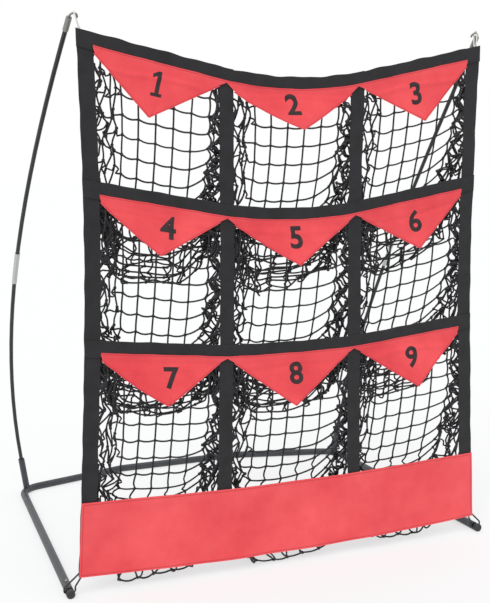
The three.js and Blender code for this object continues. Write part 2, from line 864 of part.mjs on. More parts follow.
// The origin lies on the ground, under the middle of the whole object
const whole = new THREE.Box3().setFromObject(assembly);
const middle = whole.getCenter(new THREE.Vector3());
assembly.position.set(-middle.x, -middle.y, -whole.min.z);

export default assembly;
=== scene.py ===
# %% [markdown]
# # A nine-pocket target net
# The real thing is a black webbing grid with nine knotted pockets, nine red numbered flags and a red
# banner, strung between two bowed fibreglass rods on a bent steel base.
# The hard parts come packed from CAD, so this lesson dresses them: it hangs real netting in the
# pockets, weaves the webbing, sews the cloth and finishes the metal.
# Everything is in metres, in the CAD's own frame, so nothing has to be fitted by eye.

# %% Load the CAD frame
import math

import bmesh
import bpy
import numpy as np
from mathutils import Matrix, Vector


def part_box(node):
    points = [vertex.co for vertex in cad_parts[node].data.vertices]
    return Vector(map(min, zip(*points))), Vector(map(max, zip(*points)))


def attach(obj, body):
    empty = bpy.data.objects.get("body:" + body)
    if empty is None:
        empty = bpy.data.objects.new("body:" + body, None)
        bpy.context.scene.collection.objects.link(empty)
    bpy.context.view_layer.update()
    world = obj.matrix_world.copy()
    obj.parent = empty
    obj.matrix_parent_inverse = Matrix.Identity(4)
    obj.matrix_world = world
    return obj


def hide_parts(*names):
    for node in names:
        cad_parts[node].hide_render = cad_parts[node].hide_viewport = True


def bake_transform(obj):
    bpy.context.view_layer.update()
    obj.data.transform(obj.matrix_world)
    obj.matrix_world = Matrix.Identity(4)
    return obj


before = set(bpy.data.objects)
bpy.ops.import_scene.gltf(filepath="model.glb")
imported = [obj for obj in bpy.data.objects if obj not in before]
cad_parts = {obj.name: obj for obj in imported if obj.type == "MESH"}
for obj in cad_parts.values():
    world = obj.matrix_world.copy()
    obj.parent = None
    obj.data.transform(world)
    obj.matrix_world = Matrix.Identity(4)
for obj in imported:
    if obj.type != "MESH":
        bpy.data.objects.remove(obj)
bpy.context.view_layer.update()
net_plane = 1000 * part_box("left_border")[0].y

# %% [markdown]
# ## The camera
# The photograph was taken from the left of the net and a little above it. The camera's place and lens
# were worked out once from the corners of the net, so they are plain numbers here.
# A camera looks along its own -Z, so its turn is built from the view's right, up and back directions.

# %% Set up the camera
# Millimetres to the left of the net's middle, in front of its plane and above the ground
camera_left, camera_ahead, camera_height = 1011, 2173, 998
camera_place = Vector((-camera_left / 1000, (net_plane - camera_ahead) / 1000, camera_height / 1000))
camera_yaw = math.radians(22.29)
camera_pitch = math.radians(8.42)
view_ahead = Vector((
    math.sin(camera_yaw) * math.cos(camera_pitch),
    math.cos(camera_yaw) * math.cos(camera_pitch),
    -math.sin(camera_pitch),
))
view_right = Vector((math.cos(camera_yaw), -math.sin(camera_yaw), 0))
view_up = view_right.cross(view_ahead)
view_turn = Matrix((view_right, view_up, -view_ahead)).transposed().to_4x4()


def put(name, data):
    """A new object in the scene that shows the data."""
    thing = bpy.data.objects.new(name, data)
    bpy.context.collection.objects.link(thing)
    return thing


lens = bpy.data.cameras.new("photo_camera")
lens.sensor_fit = "AUTO"
lens.sensor_width = 36
lens.lens = 61.43
camera = put("photo_camera", lens)
camera.matrix_world = Matrix.Translation(camera_place) @ view_turn
bpy.context.scene.camera = camera
print("camera at", tuple(round(c, 3) for c in camera_place))

# %% [markdown]
# ## The net's outline
# All soft pieces hang on one outline: the border pulls in at the waist, and four cross straps sag
# between their corners. The same few numbers as in the CAD give it, in millimetres, with x along the
# net, y behind it and z up. Each piece is laid out in these numbers and turned to metres at the end.

# %% Sizes of the net
half_width_top, half_width_waist, half_width_foot = 502, 494, 524
waist_height, net_top, net_foot = 800, 1249, 47
above_waist, below_waist = 2, 1.5  # powers of the border's curve, on each side of the waist
inner_share = 0.331  # inner straps stand at this share of the half width
border_width, inner_width, cross_width = 36, 34, 38
webbing_thickness = 1.5
# Upper edge of each cross strap: height at the corner, at the inner straps and in the middle
strap_lines = [(1249, 1176, 1161), (935, 875, 864), (586, 552, 549), (217, 205, 204)]
# How far a header lies over its strap, and from its top down to its foot's peaks and to the folds
header_overlap, header_peak, fold_drop = 11, 5, 20
flag_lengths = [100, 100, 109]  # from fold to point, for each row
flag_leans = [0, 36, 4, 26, 24, 6, 40, 14, 16]  # degrees that each flag curls forward
banner_dip = 31  # height of the banner's foot in the middle
cloth_y, cross_y, upright_y = -2.7, -1.05, 0.75  # each layer's middle behind the net's plane


def blend_between(a, b, share):
    return a + (b - a) * share


def half_width_at(z):
    if z > waist_height:
        share = (z - waist_height) / (net_top - waist_height)
        return blend_between(half_width_waist, half_width_top, share ** above_waist)
    share = (waist_height - z) / (waist_height - net_foot)
    return blend_between(half_width_waist, half_width_foot, share ** below_waist)


def inner_strap_at(z):
    return half_width_at(z) * inner_share


def strap_top(line, x):
    corner, crossing, middle = line
    crossing_x, corner_x = inner_strap_at(crossing), half_width_at(corner)
    if abs(x) <= crossing_x:
        return blend_between(middle, crossing, (x / crossing_x) ** 2)
    return blend_between(crossing, corner, (abs(x) - crossing_x) / (corner_x - crossing_x))


def header_top(line, x):
    return strap_top(line, x) - cross_width + header_overlap


def banner_foot(x):
    return blend_between(banner_dip, net_foot, (x / half_width_foot) ** 2)


def openings(line):
    """Left and right side of the row's three openings, along one strap."""
    inner, edge = inner_strap_at(line[1]), half_width_at(line[0]) - border_width
    half = inner_width / 2
    return [(-edge, -inner - half), (-inner + half, inner - half), (inner + half, edge)]


def swell(x, z):
    """How far the hung panel stands out of its plane: every layer shares it, so none cuts another.

    Slow waves 1.7 mm high and slanted ripples of 0.7 mm, each started at a place of its own.
    """
    slow = 1.7 * math.sin(x / 67 + 1.3) * math.sin(z / 88 + 0.4)
    return slow + 0.7 * math.sin((x + 0.8 * z) / 31 + 2)


def hung(x, y, z):
    """A point of the net in millimetres, as a point of the scene in metres."""
    return Vector((x, y + swell(x, z) + net_plane, z)) / 1000


print("openings in the top row:", [[round(v) for v in o] for o in openings(strap_lines[0])])

# %% [markdown]
# ## Small helpers for cloth
# A sheet starts as one grid. Its corners run from 0 to 1 across and down, and a rule says where each
# of them hangs. The UV map holds the flat cut in metres, so that a weave keeps its real size and
# follows the cloth. A second value, the way to the nearest hem, lets a material place the stitches.

# %% Lay a sheet
def dress(mesh, material):
    """Gives a mesh one material for all its faces."""
    mesh.materials.clear()
    mesh.materials.append(material)


def own(name, mesh, material, body="frame", stands_for=()):
    """Adds a finished mesh as a piece that rides on a body and stands for CAD nodes."""
    dress(mesh, material)
    piece = put(name, mesh)
    if stands_for:
        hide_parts(*stands_for)
    if body:
        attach(piece, body)
    return piece


def soften(bm, sharp=0.7):
    """Smooth shading, except over a rim and over edges sharper than this many radians."""
    for face in bm.faces:
        face.smooth = True
    for edge in bm.edges:
        edge.smooth = len(edge.link_faces) == 2 and edge.calc_face_angle(0) < sharp


def mesh_of(bm, name):
    mesh = bpy.data.meshes.new(name)
    bm.to_mesh(mesh)
    bm.free()
    return mesh


def plain_mesh(draft):
    """What a draft object shows, modifiers and bevel worked out, as a mesh. The draft goes."""
    mesh = bpy.data.meshes.new_from_object(
        draft.evaluated_get(bpy.context.evaluated_depsgraph_get()))
    bpy.data.objects.remove(draft)
    return mesh


def sheet_mesh(name, columns, rows, place, cut, thickness):
    """place(s, t) gives a point in metres, cut(s, t) the flat cut's (x, y, hem) in millimetres."""
    bm = bmesh.new()
    bmesh.ops.create_grid(bm, x_segments=columns, y_segments=rows, size=0.5)
    flat = bm.loops.layers.uv.new("cut")
    hem = bm.verts.layers.float.new("hem")
    shares = {v: (v.co.x + 0.5, 0.5 - v.co.y) for v in bm.verts}
    for face in bm.faces:
        for corner in face.loops:
            x, y, _ = cut(*shares[corner.vert])
            corner[flat].uv = (x / 1000, y / 1000)
    for vert, (s, t) in shares.items():
        vert[hem] = cut(s, t)[2] / 1000
        vert.co = place(s, t)
    soften(bm)
    return thicken(name, mesh_of(bm, "flat_sheet"), thickness)


def thicken(name, flat, thickness):
    """Gives a sheet its two faces and closed rim, and keeps the result as plain mesh."""
    draft = put("draft", flat)
    wall = draft.modifiers.new("wall", "SOLIDIFY")
    wall.thickness = thickness / 1000
    wall.offset = 0
    wall.use_even_offset = True
    solid = plain_mesh(draft)
    bpy.data.meshes.remove(flat)
    bm = bmesh.new()
    bm.from_mesh(solid)
    soften(bm)
    bm.to_mesh(solid)
    bm.free()
    solid.name = name
    return solid


print("sheets can be laid")

# %% [markdown]
# ## Materials: one way to add a node
# Each finish starts from what the real one is. Colours are picked as sRGB hex values, which have to be
# turned to linear light before a shader reads them. One small function adds a node with its settings
# and its links, so a material reads as a list of what it is made of.

# %% Colour and node helpers
def colour(hex_code):
    """An sRGB hex colour as linear RGBA."""
    channels = [int(hex_code[i:i + 2], 16) / 255 for i in (1, 3, 5)]
    linear = [c / 12.92 if c <= 0.04045 else ((c + 0.055) / 1.055) ** 2.4 for c in channels]
    return (*linear, 1.0)


def add(tree, kind, inputs=None, **settings):
    """A new node. An input given as another node's socket is linked, any other is set."""
    node = tree.nodes.new(kind)
    for name, value in settings.items():
        setattr(node, name, value)
    for name, value in (inputs or {}).items():
        if isinstance(value, bpy.types.NodeSocket):
            tree.links.new(value, node.inputs[name])
        else:
            node.inputs[name].default_value = value
    return node


def new_finish(name):
    """An empty material, and its node tree to fill."""
    material = bpy.data.materials.new(name)
    material.use_nodes = True
    material.node_tree.nodes.clear()
    return material, material.node_tree


def close_finish(tree, surface):
    add(tree, "ShaderNodeOutputMaterial", {"Surface": surface})


print("white is", colour("#ffffff")[:3])

# %% [markdown]
# ## Patterns that several finishes share
# Webbing and cloth are both woven: threads cross, so two sine waves along the flat cut are multiplied.
# No dye or coat is quite even either, and soft noise that runs between two near tones gives that.
# Both follow the piece itself, the weave by its cut and the tones by its place, so they move with it.

# %% Weave and mottle
def weave(tree, pitch_along, pitch_across):
    """The height of threads that cross, with their distances apart in metres."""
    cut = add(tree, "ShaderNodeUVMap", uv_map="cut").outputs["UV"]
    along = add(tree, "ShaderNodeSeparateXYZ", {"Vector": cut})
    waves = []
    for axis, pitch in (("X", pitch_along), ("Y", pitch_across)):
        phase = add(tree, "ShaderNodeMath", {0: along.outputs[axis], 1: 2 * math.pi / pitch},
                    operation="MULTIPLY")
        waves.append(add(tree, "ShaderNodeMath", {0: phase.outputs[0]}, operation="SINE"))
    return add(tree, "ShaderNodeMath", {0: waves[0].outputs[0], 1: waves[1].outputs[0]},
               operation="MULTIPLY").outputs[0]


def mottle(tree, place, noise, *tones):
    """The colour that soft noise picks between two tones, each given as a share and a hex colour."""
    patches = add(tree, "ShaderNodeTexNoise", {"Vector": place, **noise})
    ramp = add(tree, "ShaderNodeValToRGB", {"Fac": patches.outputs["Fac"]})
    for stop, (share, hex_code) in zip(ramp.color_ramp.elements, tones):
        stop.position = share
        stop.color = colour(hex_code)
    return ramp.outputs["Color"]


print("patterns ready")

# %% [markdown]
# ## Webbing
# The straps are woven polyester tape. Threads lie across it in fine ribs about 1.5 mm apart, drawn at
# 2.5 mm so that they still show, and a seam runs 4 mm inside each edge. Black dye leaves a dull, dark
# grey that lifts a little in the patches where the tape is rubbed.
# The ribs come from a wave along the cut, the seam from the hem value.

# %% Finish: woven polyester webbing
rib_pitch, cord_pitch = 0.0025, 0.0048  # metres, along the tape and across it


def woven_webbing():
    material, tree = new_finish("woven_polyester_webbing")
    place = add(tree, "ShaderNodeTexCoord").outputs["Object"]
    hem = add(tree, "ShaderNodeAttribute", attribute_name="hem")
    seam = add(tree, "ShaderNodeMapRange", {"Value": hem.outputs["Fac"], "From Min": 0.003,
               "From Max": 0.0055, "To Min": 0.0, "To Max": 1.0})
    seam_dip = add(tree, "ShaderNodeMath", {0: seam.outputs[0], 1: 0.5}, operation="SUBTRACT")
    seam_shape = add(tree, "ShaderNodeMath", {0: seam_dip.outputs[0]}, operation="ABSOLUTE")
    rub = {"Scale": 28.0, "Detail": 4.0}
    tone = mottle(tree, place, rub, (0.3, "#141417"), (0.72, "#202023"))
    ribs = weave(tree, rib_pitch, cord_pitch)
    relief = add(tree, "ShaderNodeMath", {0: ribs, 1: 0.25, 2: seam_shape.outputs[0]},
                 operation="MULTIPLY_ADD")
    bump = add(tree, "ShaderNodeBump", {"Height": relief.outputs[0], "Strength": 0.5,
               "Distance": 0.0008})
    shader = add(tree, "ShaderNodeBsdfPrincipled", {"Base Color": tone,
                 "Roughness": 0.85, "Sheen Weight": 0.08, "Sheen Roughness": 0.5,
                 "Normal": bump.outputs["Normal"]})
    close_finish(tree, shader.outputs[0])
    return material


webbing = woven_webbing()
print("made", webbing.name)

# %% [markdown]
# ## Webbing straps
# Four cross straps run from corner to corner, and four uprights stand behind them. A strap is a long
# sheet one tape wide. Netting pulls on it between its knots, so its edges wander by a millimetre or
# two: a smooth wander of x does that, and gathers nothing. Each strap has a seed of its own.

# %% Make the straps
cross_cells, upright_cells, tape_cells = 168, 190, 4  # along a strap and across it, for the wander
upright_length = 1200
border_seed, inner_seed = 2, 7
# How far edges wander: the top strap's, the other cross straps', their lower ones and the uprights'
top_loose, cross_loose, lower_loose, upright_loose = 1.5, 0.8, 0.6, 0.8


def wander(x, seed, reach):
    """Up to reach millimetres to either side, in waves of about 107 and 57 mm."""
    return reach * (0.6 * math.sin(x / 17.0 + seed) + 0.4 * math.sin(x / 9.1 + 2.7 * seed))


def strap_hem(t, width):
    """The way to the nearer edge of the tape."""
    return min(t, 1 - t) * width


def cross_strap(name, line, seed):
    end = half_width_at(line[0])
    loose = top_loose if name == "top_strap" else cross_loose

    def place(s, t):
        x = blend_between(-end, end, s)
        edge = wander(x, seed, loose) * (1 - t) + wander(x, seed + 5, lower_loose) * t
        return hung(x, cross_y, strap_top(line, x) - t * cross_width + edge)

    mesh = sheet_mesh(name + "_webbing", cross_cells, tape_cells, place,
                      lambda s, t: (2 * end * s, cross_width * t, strap_hem(t, cross_width)),
                      webbing_thickness)
    return own(name + "_webbing", mesh, webbing, stands_for=[name])


def upright(name, centre_at, width, lower_edge, seed):
    def place(s, t):
        offset = (s - 0.5) * width
        x = centre_at(blend_between(net_top, net_foot, t)) + offset
        z = blend_between(strap_top(strap_lines[0], x), lower_edge(x), t)
        x = centre_at(z) + offset + wander(z, seed + 3 * s, upright_loose)
        return hung(x, upright_y, z)

    mesh = sheet_mesh(name + "_webbing", tape_cells, upright_cells, place,
                      lambda s, t: (upright_length * t, width * s, strap_hem(s, width)),
                      webbing_thickness)
    return own(name + "_webbing", mesh, webbing, stands_for=[name])


def bottom_strap_foot(x):
    return strap_top(strap_lines[3], x) - cross_width


strap_names = ["top_strap", "upper_cross_strap", "lower_cross_strap", "bottom_strap"]
straps = [cross_strap(name, line, k + 1) for k, (name, line) in enumerate(zip(strap_names, strap_lines))]
for word, side in (("left", -1), ("right", 1)):
    straps.append(upright(f"{word}_border",
                          lambda z, side=side: side * (half_width_at(z) - border_width / 2),
                          border_width, banner_foot, border_seed + side))
    straps.append(upright(f"{word}_inner_strap", lambda z, side=side: side * inner_strap_at(z),
                          inner_width, bottom_strap_foot, inner_seed + side))
print("made", len(straps), "straps")

# %% [markdown]
# ## Red cloth
# Flags, headers and banner are cut from one thin woven polyester, dyed a warm coral red. Its threads
# are about 0.4 mm apart, far too fine to show, so they are drawn at 1.6 mm as a faint bump only. The
# dye varies a little, light scatters through the thin cloth, and its hems are sewn near the edge.
# The banner's cloth is a lighter copy of the same red, a painted highlight for the brighter light on the
# banner.

# %% Finish: plain-woven polyester cloth
thread_pitch, seam_inset = 0.0016, 0.005  # metres


def red_polyester(name, dark, light):
    material, tree = new_finish(name)
    place = add(tree, "ShaderNodeTexCoord").outputs["Object"]
    dye = {"Scale": 9.0, "Detail": 5.0, "Roughness": 0.6}
    tone = mottle(tree, place, dye, (0.3, dark), (0.7, light))
    hem = add(tree, "ShaderNodeAttribute", attribute_name="hem")
    near_seam = add(tree, "ShaderNodeMath", {0: hem.outputs["Fac"], 1: seam_inset},
                    operation="SUBTRACT")
    seam_gap = add(tree, "ShaderNodeMath", {0: near_seam.outputs[0]}, operation="ABSOLUTE")
    seam = add(tree, "ShaderNodeMapRange", {"Value": seam_gap.outputs[0], "From Min": 0.0006,
               "From Max": 0.0016, "To Min": 0.6, "To Max": 0.0})
    shade = add(tree, "ShaderNodeMix", {"Factor": seam.outputs[0], 6: tone,
                7: colour("#c02f3a")}, data_type="RGBA")
    threads = weave(tree, thread_pitch, thread_pitch)
    relief = add(tree, "ShaderNodeMath", {0: seam.outputs[0], 1: -2.0, 2: threads},
                 operation="MULTIPLY_ADD")
    bump = add(tree, "ShaderNodeBump", {"Height": relief.outputs[0], "Strength": 0.25,
               "Distance": 0.0005})
    shader = add(tree, "ShaderNodeBsdfPrincipled", {"Base Color": shade.outputs[2],
                 "Roughness": 0.68, "Sheen Weight": 0.2, "Sheen Roughness": 0.45,
                 "Normal": bump.outputs["Normal"]})
    glow = add(tree, "ShaderNodeBsdfTranslucent", {"Color": shade.outputs[2],
               "Normal": bump.outputs["Normal"]})
    cloth = add(tree, "ShaderNodeMixShader", {0: 0.18, 1: shader.outputs[0], 2: glow.outputs[0]})
    close_finish(tree, cloth.outputs[0])
    return material


red_cloth = red_polyester("plain_woven_red_polyester", "#e9404a", "#fb585e")
# Lighter tones than the flags' cloth: a painted highlight on the banner
banner_cloth = red_polyester("woven_red_polyester_painted_highlight", "#f04a52", "#ff6468")
print("made", red_cloth.name, "and", banner_cloth.name)

# %% [markdown]
# ## Flags and headers
# Header and flag are one cloth on the real net: a band sewn over the strap, then three triangles that
# bend along its foot. Cloth is never flat: a soft crease runs along under the band and a few folds
# fan down to the point.

# %% Where each flag folds
fold_above = 3.0  # how far a flag's cloth runs up from its fold, to the header's foot
fold_clearance = 2  # how far the fold stays below the strap where the strap sags most
flag_inset = 3.5  # from the side of the opening
tip_width = 3
cloth_thickness = 0.9
header_turn, hem_turn = 2, 2.2  # counted onto the way to a hem, so its stitches lie 3 mm from it
least_lean = 1e-4  # radians: a flag is never quite flat, since its curl is divided by


def fold_ends(line, opening):
    left, right = opening[0] + flag_inset, opening[1] - flag_inset
    chord = (header_top(line, left) + header_top(line, right)) / 2
    sag = chord - header_top(line, (left + right) / 2)
    drop = max(fold_drop, sag + header_overlap + fold_clearance)
    return [Vector((x, header_top(line, x) - drop)) for x in (left, right)]


def flag_frame(line, opening):
    """The fold's left end, its direction and its length."""
    left, right = fold_ends(line, opening)
    along = right - left
    return left, along.normalized(), along.length


def flag_cut(index):
    """What sets a flag apart: its strap's line, its opening, length and lean, and its folds' seed."""
    row, column = divmod(index, 3)
    line = strap_lines[row]
    return line, openings(line)[column], flag_lengths[row], flag_leans[index], index + 1


def flag_folds(s, t, seed):
    """Soft folds, in millimetres out of the cloth: a crease along the top and a fan to the point.

    They are some 2 mm high, differ from seed to seed, and fade out at the fold.
    """
    crease = 2.6 * math.exp(-((t - 0.16 - 0.05 * math.sin(5 * s + seed)) / 0.06) ** 2)
    fan = 2.0 * math.sin((s - 0.5) * (7 + seed % 3) + seed) * t * (1.25 - t)
    slant = 1.1 * math.exp(-((s - 0.3 - 0.4 * t - 0.05 * (seed % 4)) / 0.09) ** 2) * t
    return (crease + fan - 1.5 * slant) * (1 if seed % 2 else -0.8) * min(1, 9 * t)


def flag_point(index, s, t, proud=0.0):
    """A point of a hanging flag. t runs from the fold, 0, to the point, 1, and s across it."""
    line, opening, length, lean, seed = flag_cut(index)
    left, along, width = flag_frame(line, opening)
    start, curl = math.radians(lean) / 2, max(math.radians(lean), least_lean)
    if t >= 0:
        fall = length * (math.sin(start + curl * t) - math.sin(start)) / curl
        ahead = length * (math.cos(start) - math.cos(start + curl * t)) / curl
        facing = start + curl * t
    else:
        fall, ahead, facing = length * t, 0.0, 0.0
    span = blend_between(width, tip_width, t)
    aside = width / 2 + (s - 0.5) * span
    out = flag_folds(s, max(t, 0), seed) + proud
    fall_out, ahead_out = -out * math.sin(facing), out * math.cos(facing)
    x = left.x + along.x * aside + along.y * (fall + fall_out)
    z = left.y + along.y * aside - along.x * (fall + fall_out)
    flat_z = left.y + along.y * aside
    return Vector((x, cloth_y - ahead - ahead_out + swell(x, flat_z) + net_plane, z)) / 1000


first_fold = fold_ends(strap_lines[0], openings(strap_lines[0])[0])
print("first fold:", [tuple(round(c) for c in end) for end in first_fold])

# %% Make the headers
header_step = 9  # about this far between the columns of its grid
header_seed, header_loose = 3.3, 0.5  # how its upper edge wanders


def header_peaks(line):
    """Where the header's lower edge peaks: at both ends and over the two inner straps."""
    inner, edge = inner_strap_at(line[1]), openings(line)[2][1]
    return [-edge, -inner, inner, edge]


def header_foot(line, x):
    """The header's lower edge: along the folds, and up to a peak over each upright strap."""
    peaks = header_peaks(line)
    stops = []
    for opening, peak_left, peak_right in zip(openings(line), peaks, peaks[1:]):
        stops.append((peak_left, header_top(line, peak_left) - header_peak))
        stops.extend((end.x, end.y + fold_above) for end in fold_ends(line, opening))
        stops.append((peak_right, header_top(line, peak_right) - header_peak))
    xs, zs = zip(*stops)
    return float(np.interp(x, xs, zs))


def header_stations(line):
    """Columns of the header's grid, with one at each corner of its lower edge."""
    fixed = set(header_peaks(line))
    for opening in openings(line):
        fixed.update(end.x for end in fold_ends(line, opening))
    fixed = sorted(fixed)
    stations = []
    for a, b in zip(fixed, fixed[1:]):
        steps = max(1, round((b - a) / header_step))
        stations += [blend_between(a, b, k / steps) for k in range(steps)]
    return stations + [fixed[-1]]


def make_header(name, line):
    stations = header_stations(line)
    columns = len(stations) - 1

    def height(x):
        return header_top(line, x) - header_foot(line, x)

    def place(s, t):
        x = stations[round(s * columns)]
        top = header_top(line, x) + wander(x, header_seed, header_loose)
        return hung(x, cloth_y, blend_between(top, header_foot(line, x), t))

    def cut(s, t):
        x = stations[round(s * columns)]
        drop = height(x) * t
        return x, drop, drop + header_turn

    mesh = sheet_mesh(name + "_cloth", columns, 4, place, cut, cloth_thickness)
    piece = own(name + "_cloth", mesh, red_cloth, stands_for=[name])
    area = sum((b - a) * height((a + b) / 2) for a, b in zip(stations, stations[1:]))
    tall = max(height(x) for x in stations)
    strap_names[strap_lines.index(line)] + "_webbing"
    return piece


row_names = ["top", "middle", "lower"]
headers = [make_header(f"{row}_flag_header", line) for row, line in zip(row_names, strap_lines)]
print("made", [h.name for h in headers])

# %% Make the flags
flag_columns, flag_rows = 40, 48  # fine enough for the digits, which lie a third of a millimetre proud
side_slope = 0.57  # the way to a flag's slanted edge, as a share of the level way to it


def make_flag(index):
    line, opening, length, _, _ = flag_cut(index)
    left, along, width = flag_frame(line, opening)
    top = -fold_above / length

    def place(s, t):
        return flag_point(index, s, blend_between(top, 1, t))

    def cut(s, t):
        drop = blend_between(top, 1, t)
        half = blend_between(width, tip_width, drop) / 2
        to_side = (1 - abs(2 * s - 1)) * half * side_slope
        return (s - 0.5) * 2 * half, drop * length, to_side + hem_turn

    name = f"flag_{index + 1}"
    mesh = sheet_mesh(name + "_cloth", flag_columns, flag_rows, place, cut, cloth_thickness)
    piece = own(name + "_cloth", mesh, red_cloth, body=None, stands_for=[name])
    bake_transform(piece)
    return piece


flags = [make_flag(index) for index in range(9)]
print("made", len(flags), "flags")

# %% [markdown]
# ## Printed digits
# The digits are black ink on the cloth. A text object gives their outline; it is made a mesh, cut into
# small cells so that it can bend, and each point is then placed on the flag's own surface, a third of
# a millimetre proud. The ink is matt, and wears thin in specks where the cloth's threads stand up.

# %% Finish: printed ink
def printed_ink():
    material, tree = new_finish("matt_black_print_ink")
    place = add(tree, "ShaderNodeTexCoord").outputs["Object"]
    specks = add(tree, "ShaderNodeTexNoise", {"Vector": place, "Scale": 420.0, "Detail": 3.0})
    cloudy = add(tree, "ShaderNodeTexNoise", {"Vector": place, "Scale": 60.0, "Detail": 2.0})
    both = add(tree, "ShaderNodeMath", {0: specks.outputs["Fac"], 1: cloudy.outputs["Fac"]},
               operation="MULTIPLY")
    tone = add(tree, "ShaderNodeValToRGB", {"Fac": both.outputs[0]})
    for stop, share, hex_code in zip(tone.color_ramp.elements, (0.2, 0.42), ("#1e1719", "#3a2428")):
        stop.position = share
        stop.color = colour(hex_code)
    shader = add(tree, "ShaderNodeBsdfPrincipled", {"Base Color": tone.outputs["Color"],
                 "Roughness": 0.75})
    close_finish(tree, shader.outputs[0])
    return material


ink = printed_ink()
print("made", ink.name)

# %% Print the digits
digit_height = 54.0
digit_places = [0.26, 0.26, 0.31, 0.29, 0.3, 0.32, 0.32, 0.29, 0.31]  # middles, down each flag
digit_shifts = [4, -8, -12, 17, 3, 0, 20, 8, -2]  # middles, to the right of each flag's middle
digit_cell = 2.5
digit_half_width, digit_half_height = 22.5, 27.5  # the field of cells
digit_weight = 0.028  # strokes grow by this share of the letter's size, to a bold print
ink_proud = 0.3  # over the cloth's face
# Outline of the 1 in hundredths of the typeface's size, from its foot's lower left round to the right
one_outline = [(14, 0), (46, 0), (46, 9), (37, 9), (37, 70), (27, 70), (12, 61), (12, 50), (25, 57),
               (25, 9), (14, 9)]


def digit_curve(digit):
    """A digit's outline. The typeface's 1 is a bare stick, so that one gets a flag and a foot."""
    if digit == 1:
        outline = bpy.data.curves.new("digit", "CURVE")
        outline.dimensions = "2D"
        outline.fill_mode = "BOTH"
        edge = outline.splines.new("POLY")
        edge.points.add(len(one_outline) - 1)
        for point, (x, y) in zip(edge.points, one_outline):
            point.co = (x / 100, y / 100, 0, 1)
        edge.use_cyclic_u = True
        return outline
    text = bpy.data.curves.new("digit", "FONT")
    text.body = str(digit)
    text.offset = digit_weight
    text.resolution_u = 4
    return text


def digit_outline(digit):
    """The digit as a flat mesh in its own plane, in millimetres, centred and cut into cells."""
    mesh = plain_mesh(put("digit", digit_curve(digit)))
    bm = bmesh.new()
    bm.from_mesh(mesh)
    bpy.data.meshes.remove(mesh)
    bmesh.ops.remove_doubles(bm, verts=bm.verts[:], dist=1e-5)
    low = Vector([min(v.co[k] for v in bm.verts) for k in range(3)])
    high = Vector([max(v.co[k] for v in bm.verts) for k in range(3)])
    size = digit_height / (high.y - low.y)
    bmesh.ops.translate(bm, verts=bm.verts[:], vec=-(low + high) / 2)
    bmesh.ops.scale(bm, verts=bm.verts[:], vec=(size, size, size))
    for normal, reach in (((1, 0, 0), digit_half_width), ((0, 1, 0), digit_half_height)):
        for step in np.arange(-reach, reach + 1, digit_cell):
            bmesh.ops.bisect_plane(bm, geom=bm.verts[:] + bm.edges[:] + bm.faces[:],
                                   plane_co=Vector(normal) * step, plane_no=normal, dist=1e-4)
    return bm


def print_digit(index):
    line, opening, length, _, _ = flag_cut(index)
    _, _, width = flag_frame(line, opening)
    bm = digit_outline(index + 1)
    for vert in bm.verts:
        t = digit_places[index] - vert.co.y / length
        across = 0.5 + (vert.co.x + digit_shifts[index]) / blend_between(width, tip_width, t)
        vert.co = flag_point(index, across, t, proud=cloth_thickness / 2 + ink_proud)
    soften(bm, sharp=3)
    name = f"digit_{index + 1}_ink"
    piece = own(name, mesh_of(bm, name), ink, body=f"flag_{index + 1}_body")
    return piece


digits = [print_digit(index) for index in range(9)]
print("printed", len(digits), "digits")

# %% [markdown]
# ## The banner
# The banner hangs in front of the foot of the net, as wide as the net and sewn along its top and both
# sides. It is left bare. Its cloth is heavier, so it hangs in a few long, shallow folds, pulled towards
# the corners where the base holds it.

# %% Make the banner
banner_line = strap_lines[3]
banner_rise = 2  # its top stands this far over the bottom strap
banner_edge = 520  # about its half width, for the folds that the corners pull
banner_cut_edge = 521  # half of its mean width
folds_start, folds_reach = 205, 170  # height where the folds start, and how far down they grow
banner_columns, banner_rows = 150, 26
banner_proud, foot_turn = 0.5, 0.5  # in front of the flags' cloth, and counted onto the way to its foot


def banner_top(x):
    return strap_top(banner_line, x) + banner_rise


def banner_folds(x, z):
    """Millimetres out of the cloth: long upright folds, folds pulled to the corners, one slow roll."""
    down = (folds_start - z) / folds_reach
    long_folds = 2.0 * math.sin(x / 58 + 0.8 * down) * down
    from_edge = abs(x) - banner_edge
    pull = 1.6 * math.sin(from_edge / 40 + 2.4 * down) * math.exp(from_edge / 120)
    return long_folds + pull + 1.3 * math.sin(z / 37 + x / 190)


def make_banner():
    def at(s, t):
        guess = blend_between(banner_line[0], net_foot, t)
        x = blend_between(-1, 1, s) * half_width_at(guess)
        return x, blend_between(banner_top(x), banner_foot(x), t)

    def place(s, t):
        x, z = at(s, t)
        hold = min(1, 3 * t) * min(1, 8 * min(s, 1 - s) + 0.2)  # sewn along its top and both sides
        return hung(x, cloth_y - banner_proud - abs(banner_folds(x, z)) * hold, z)

    def cut(s, t):
        x, z = at(s, t)
        down = banner_top(x) - z
        return x, down, min(half_width_at(z) - abs(x), down, z - banner_foot(x) + foot_turn)

    mesh = sheet_mesh("banner_cloth", banner_columns, banner_rows, place, cut, cloth_thickness)
    piece = own("banner_cloth", mesh, banner_cloth, stands_for=["banner"])
    steps = np.linspace(-banner_cut_edge, banner_cut_edge, 201)
    mean_height = float(np.mean([banner_top(x) - banner_foot(x) for x in steps]))
    return piece


banner = make_banner()
print("made", banner.name)

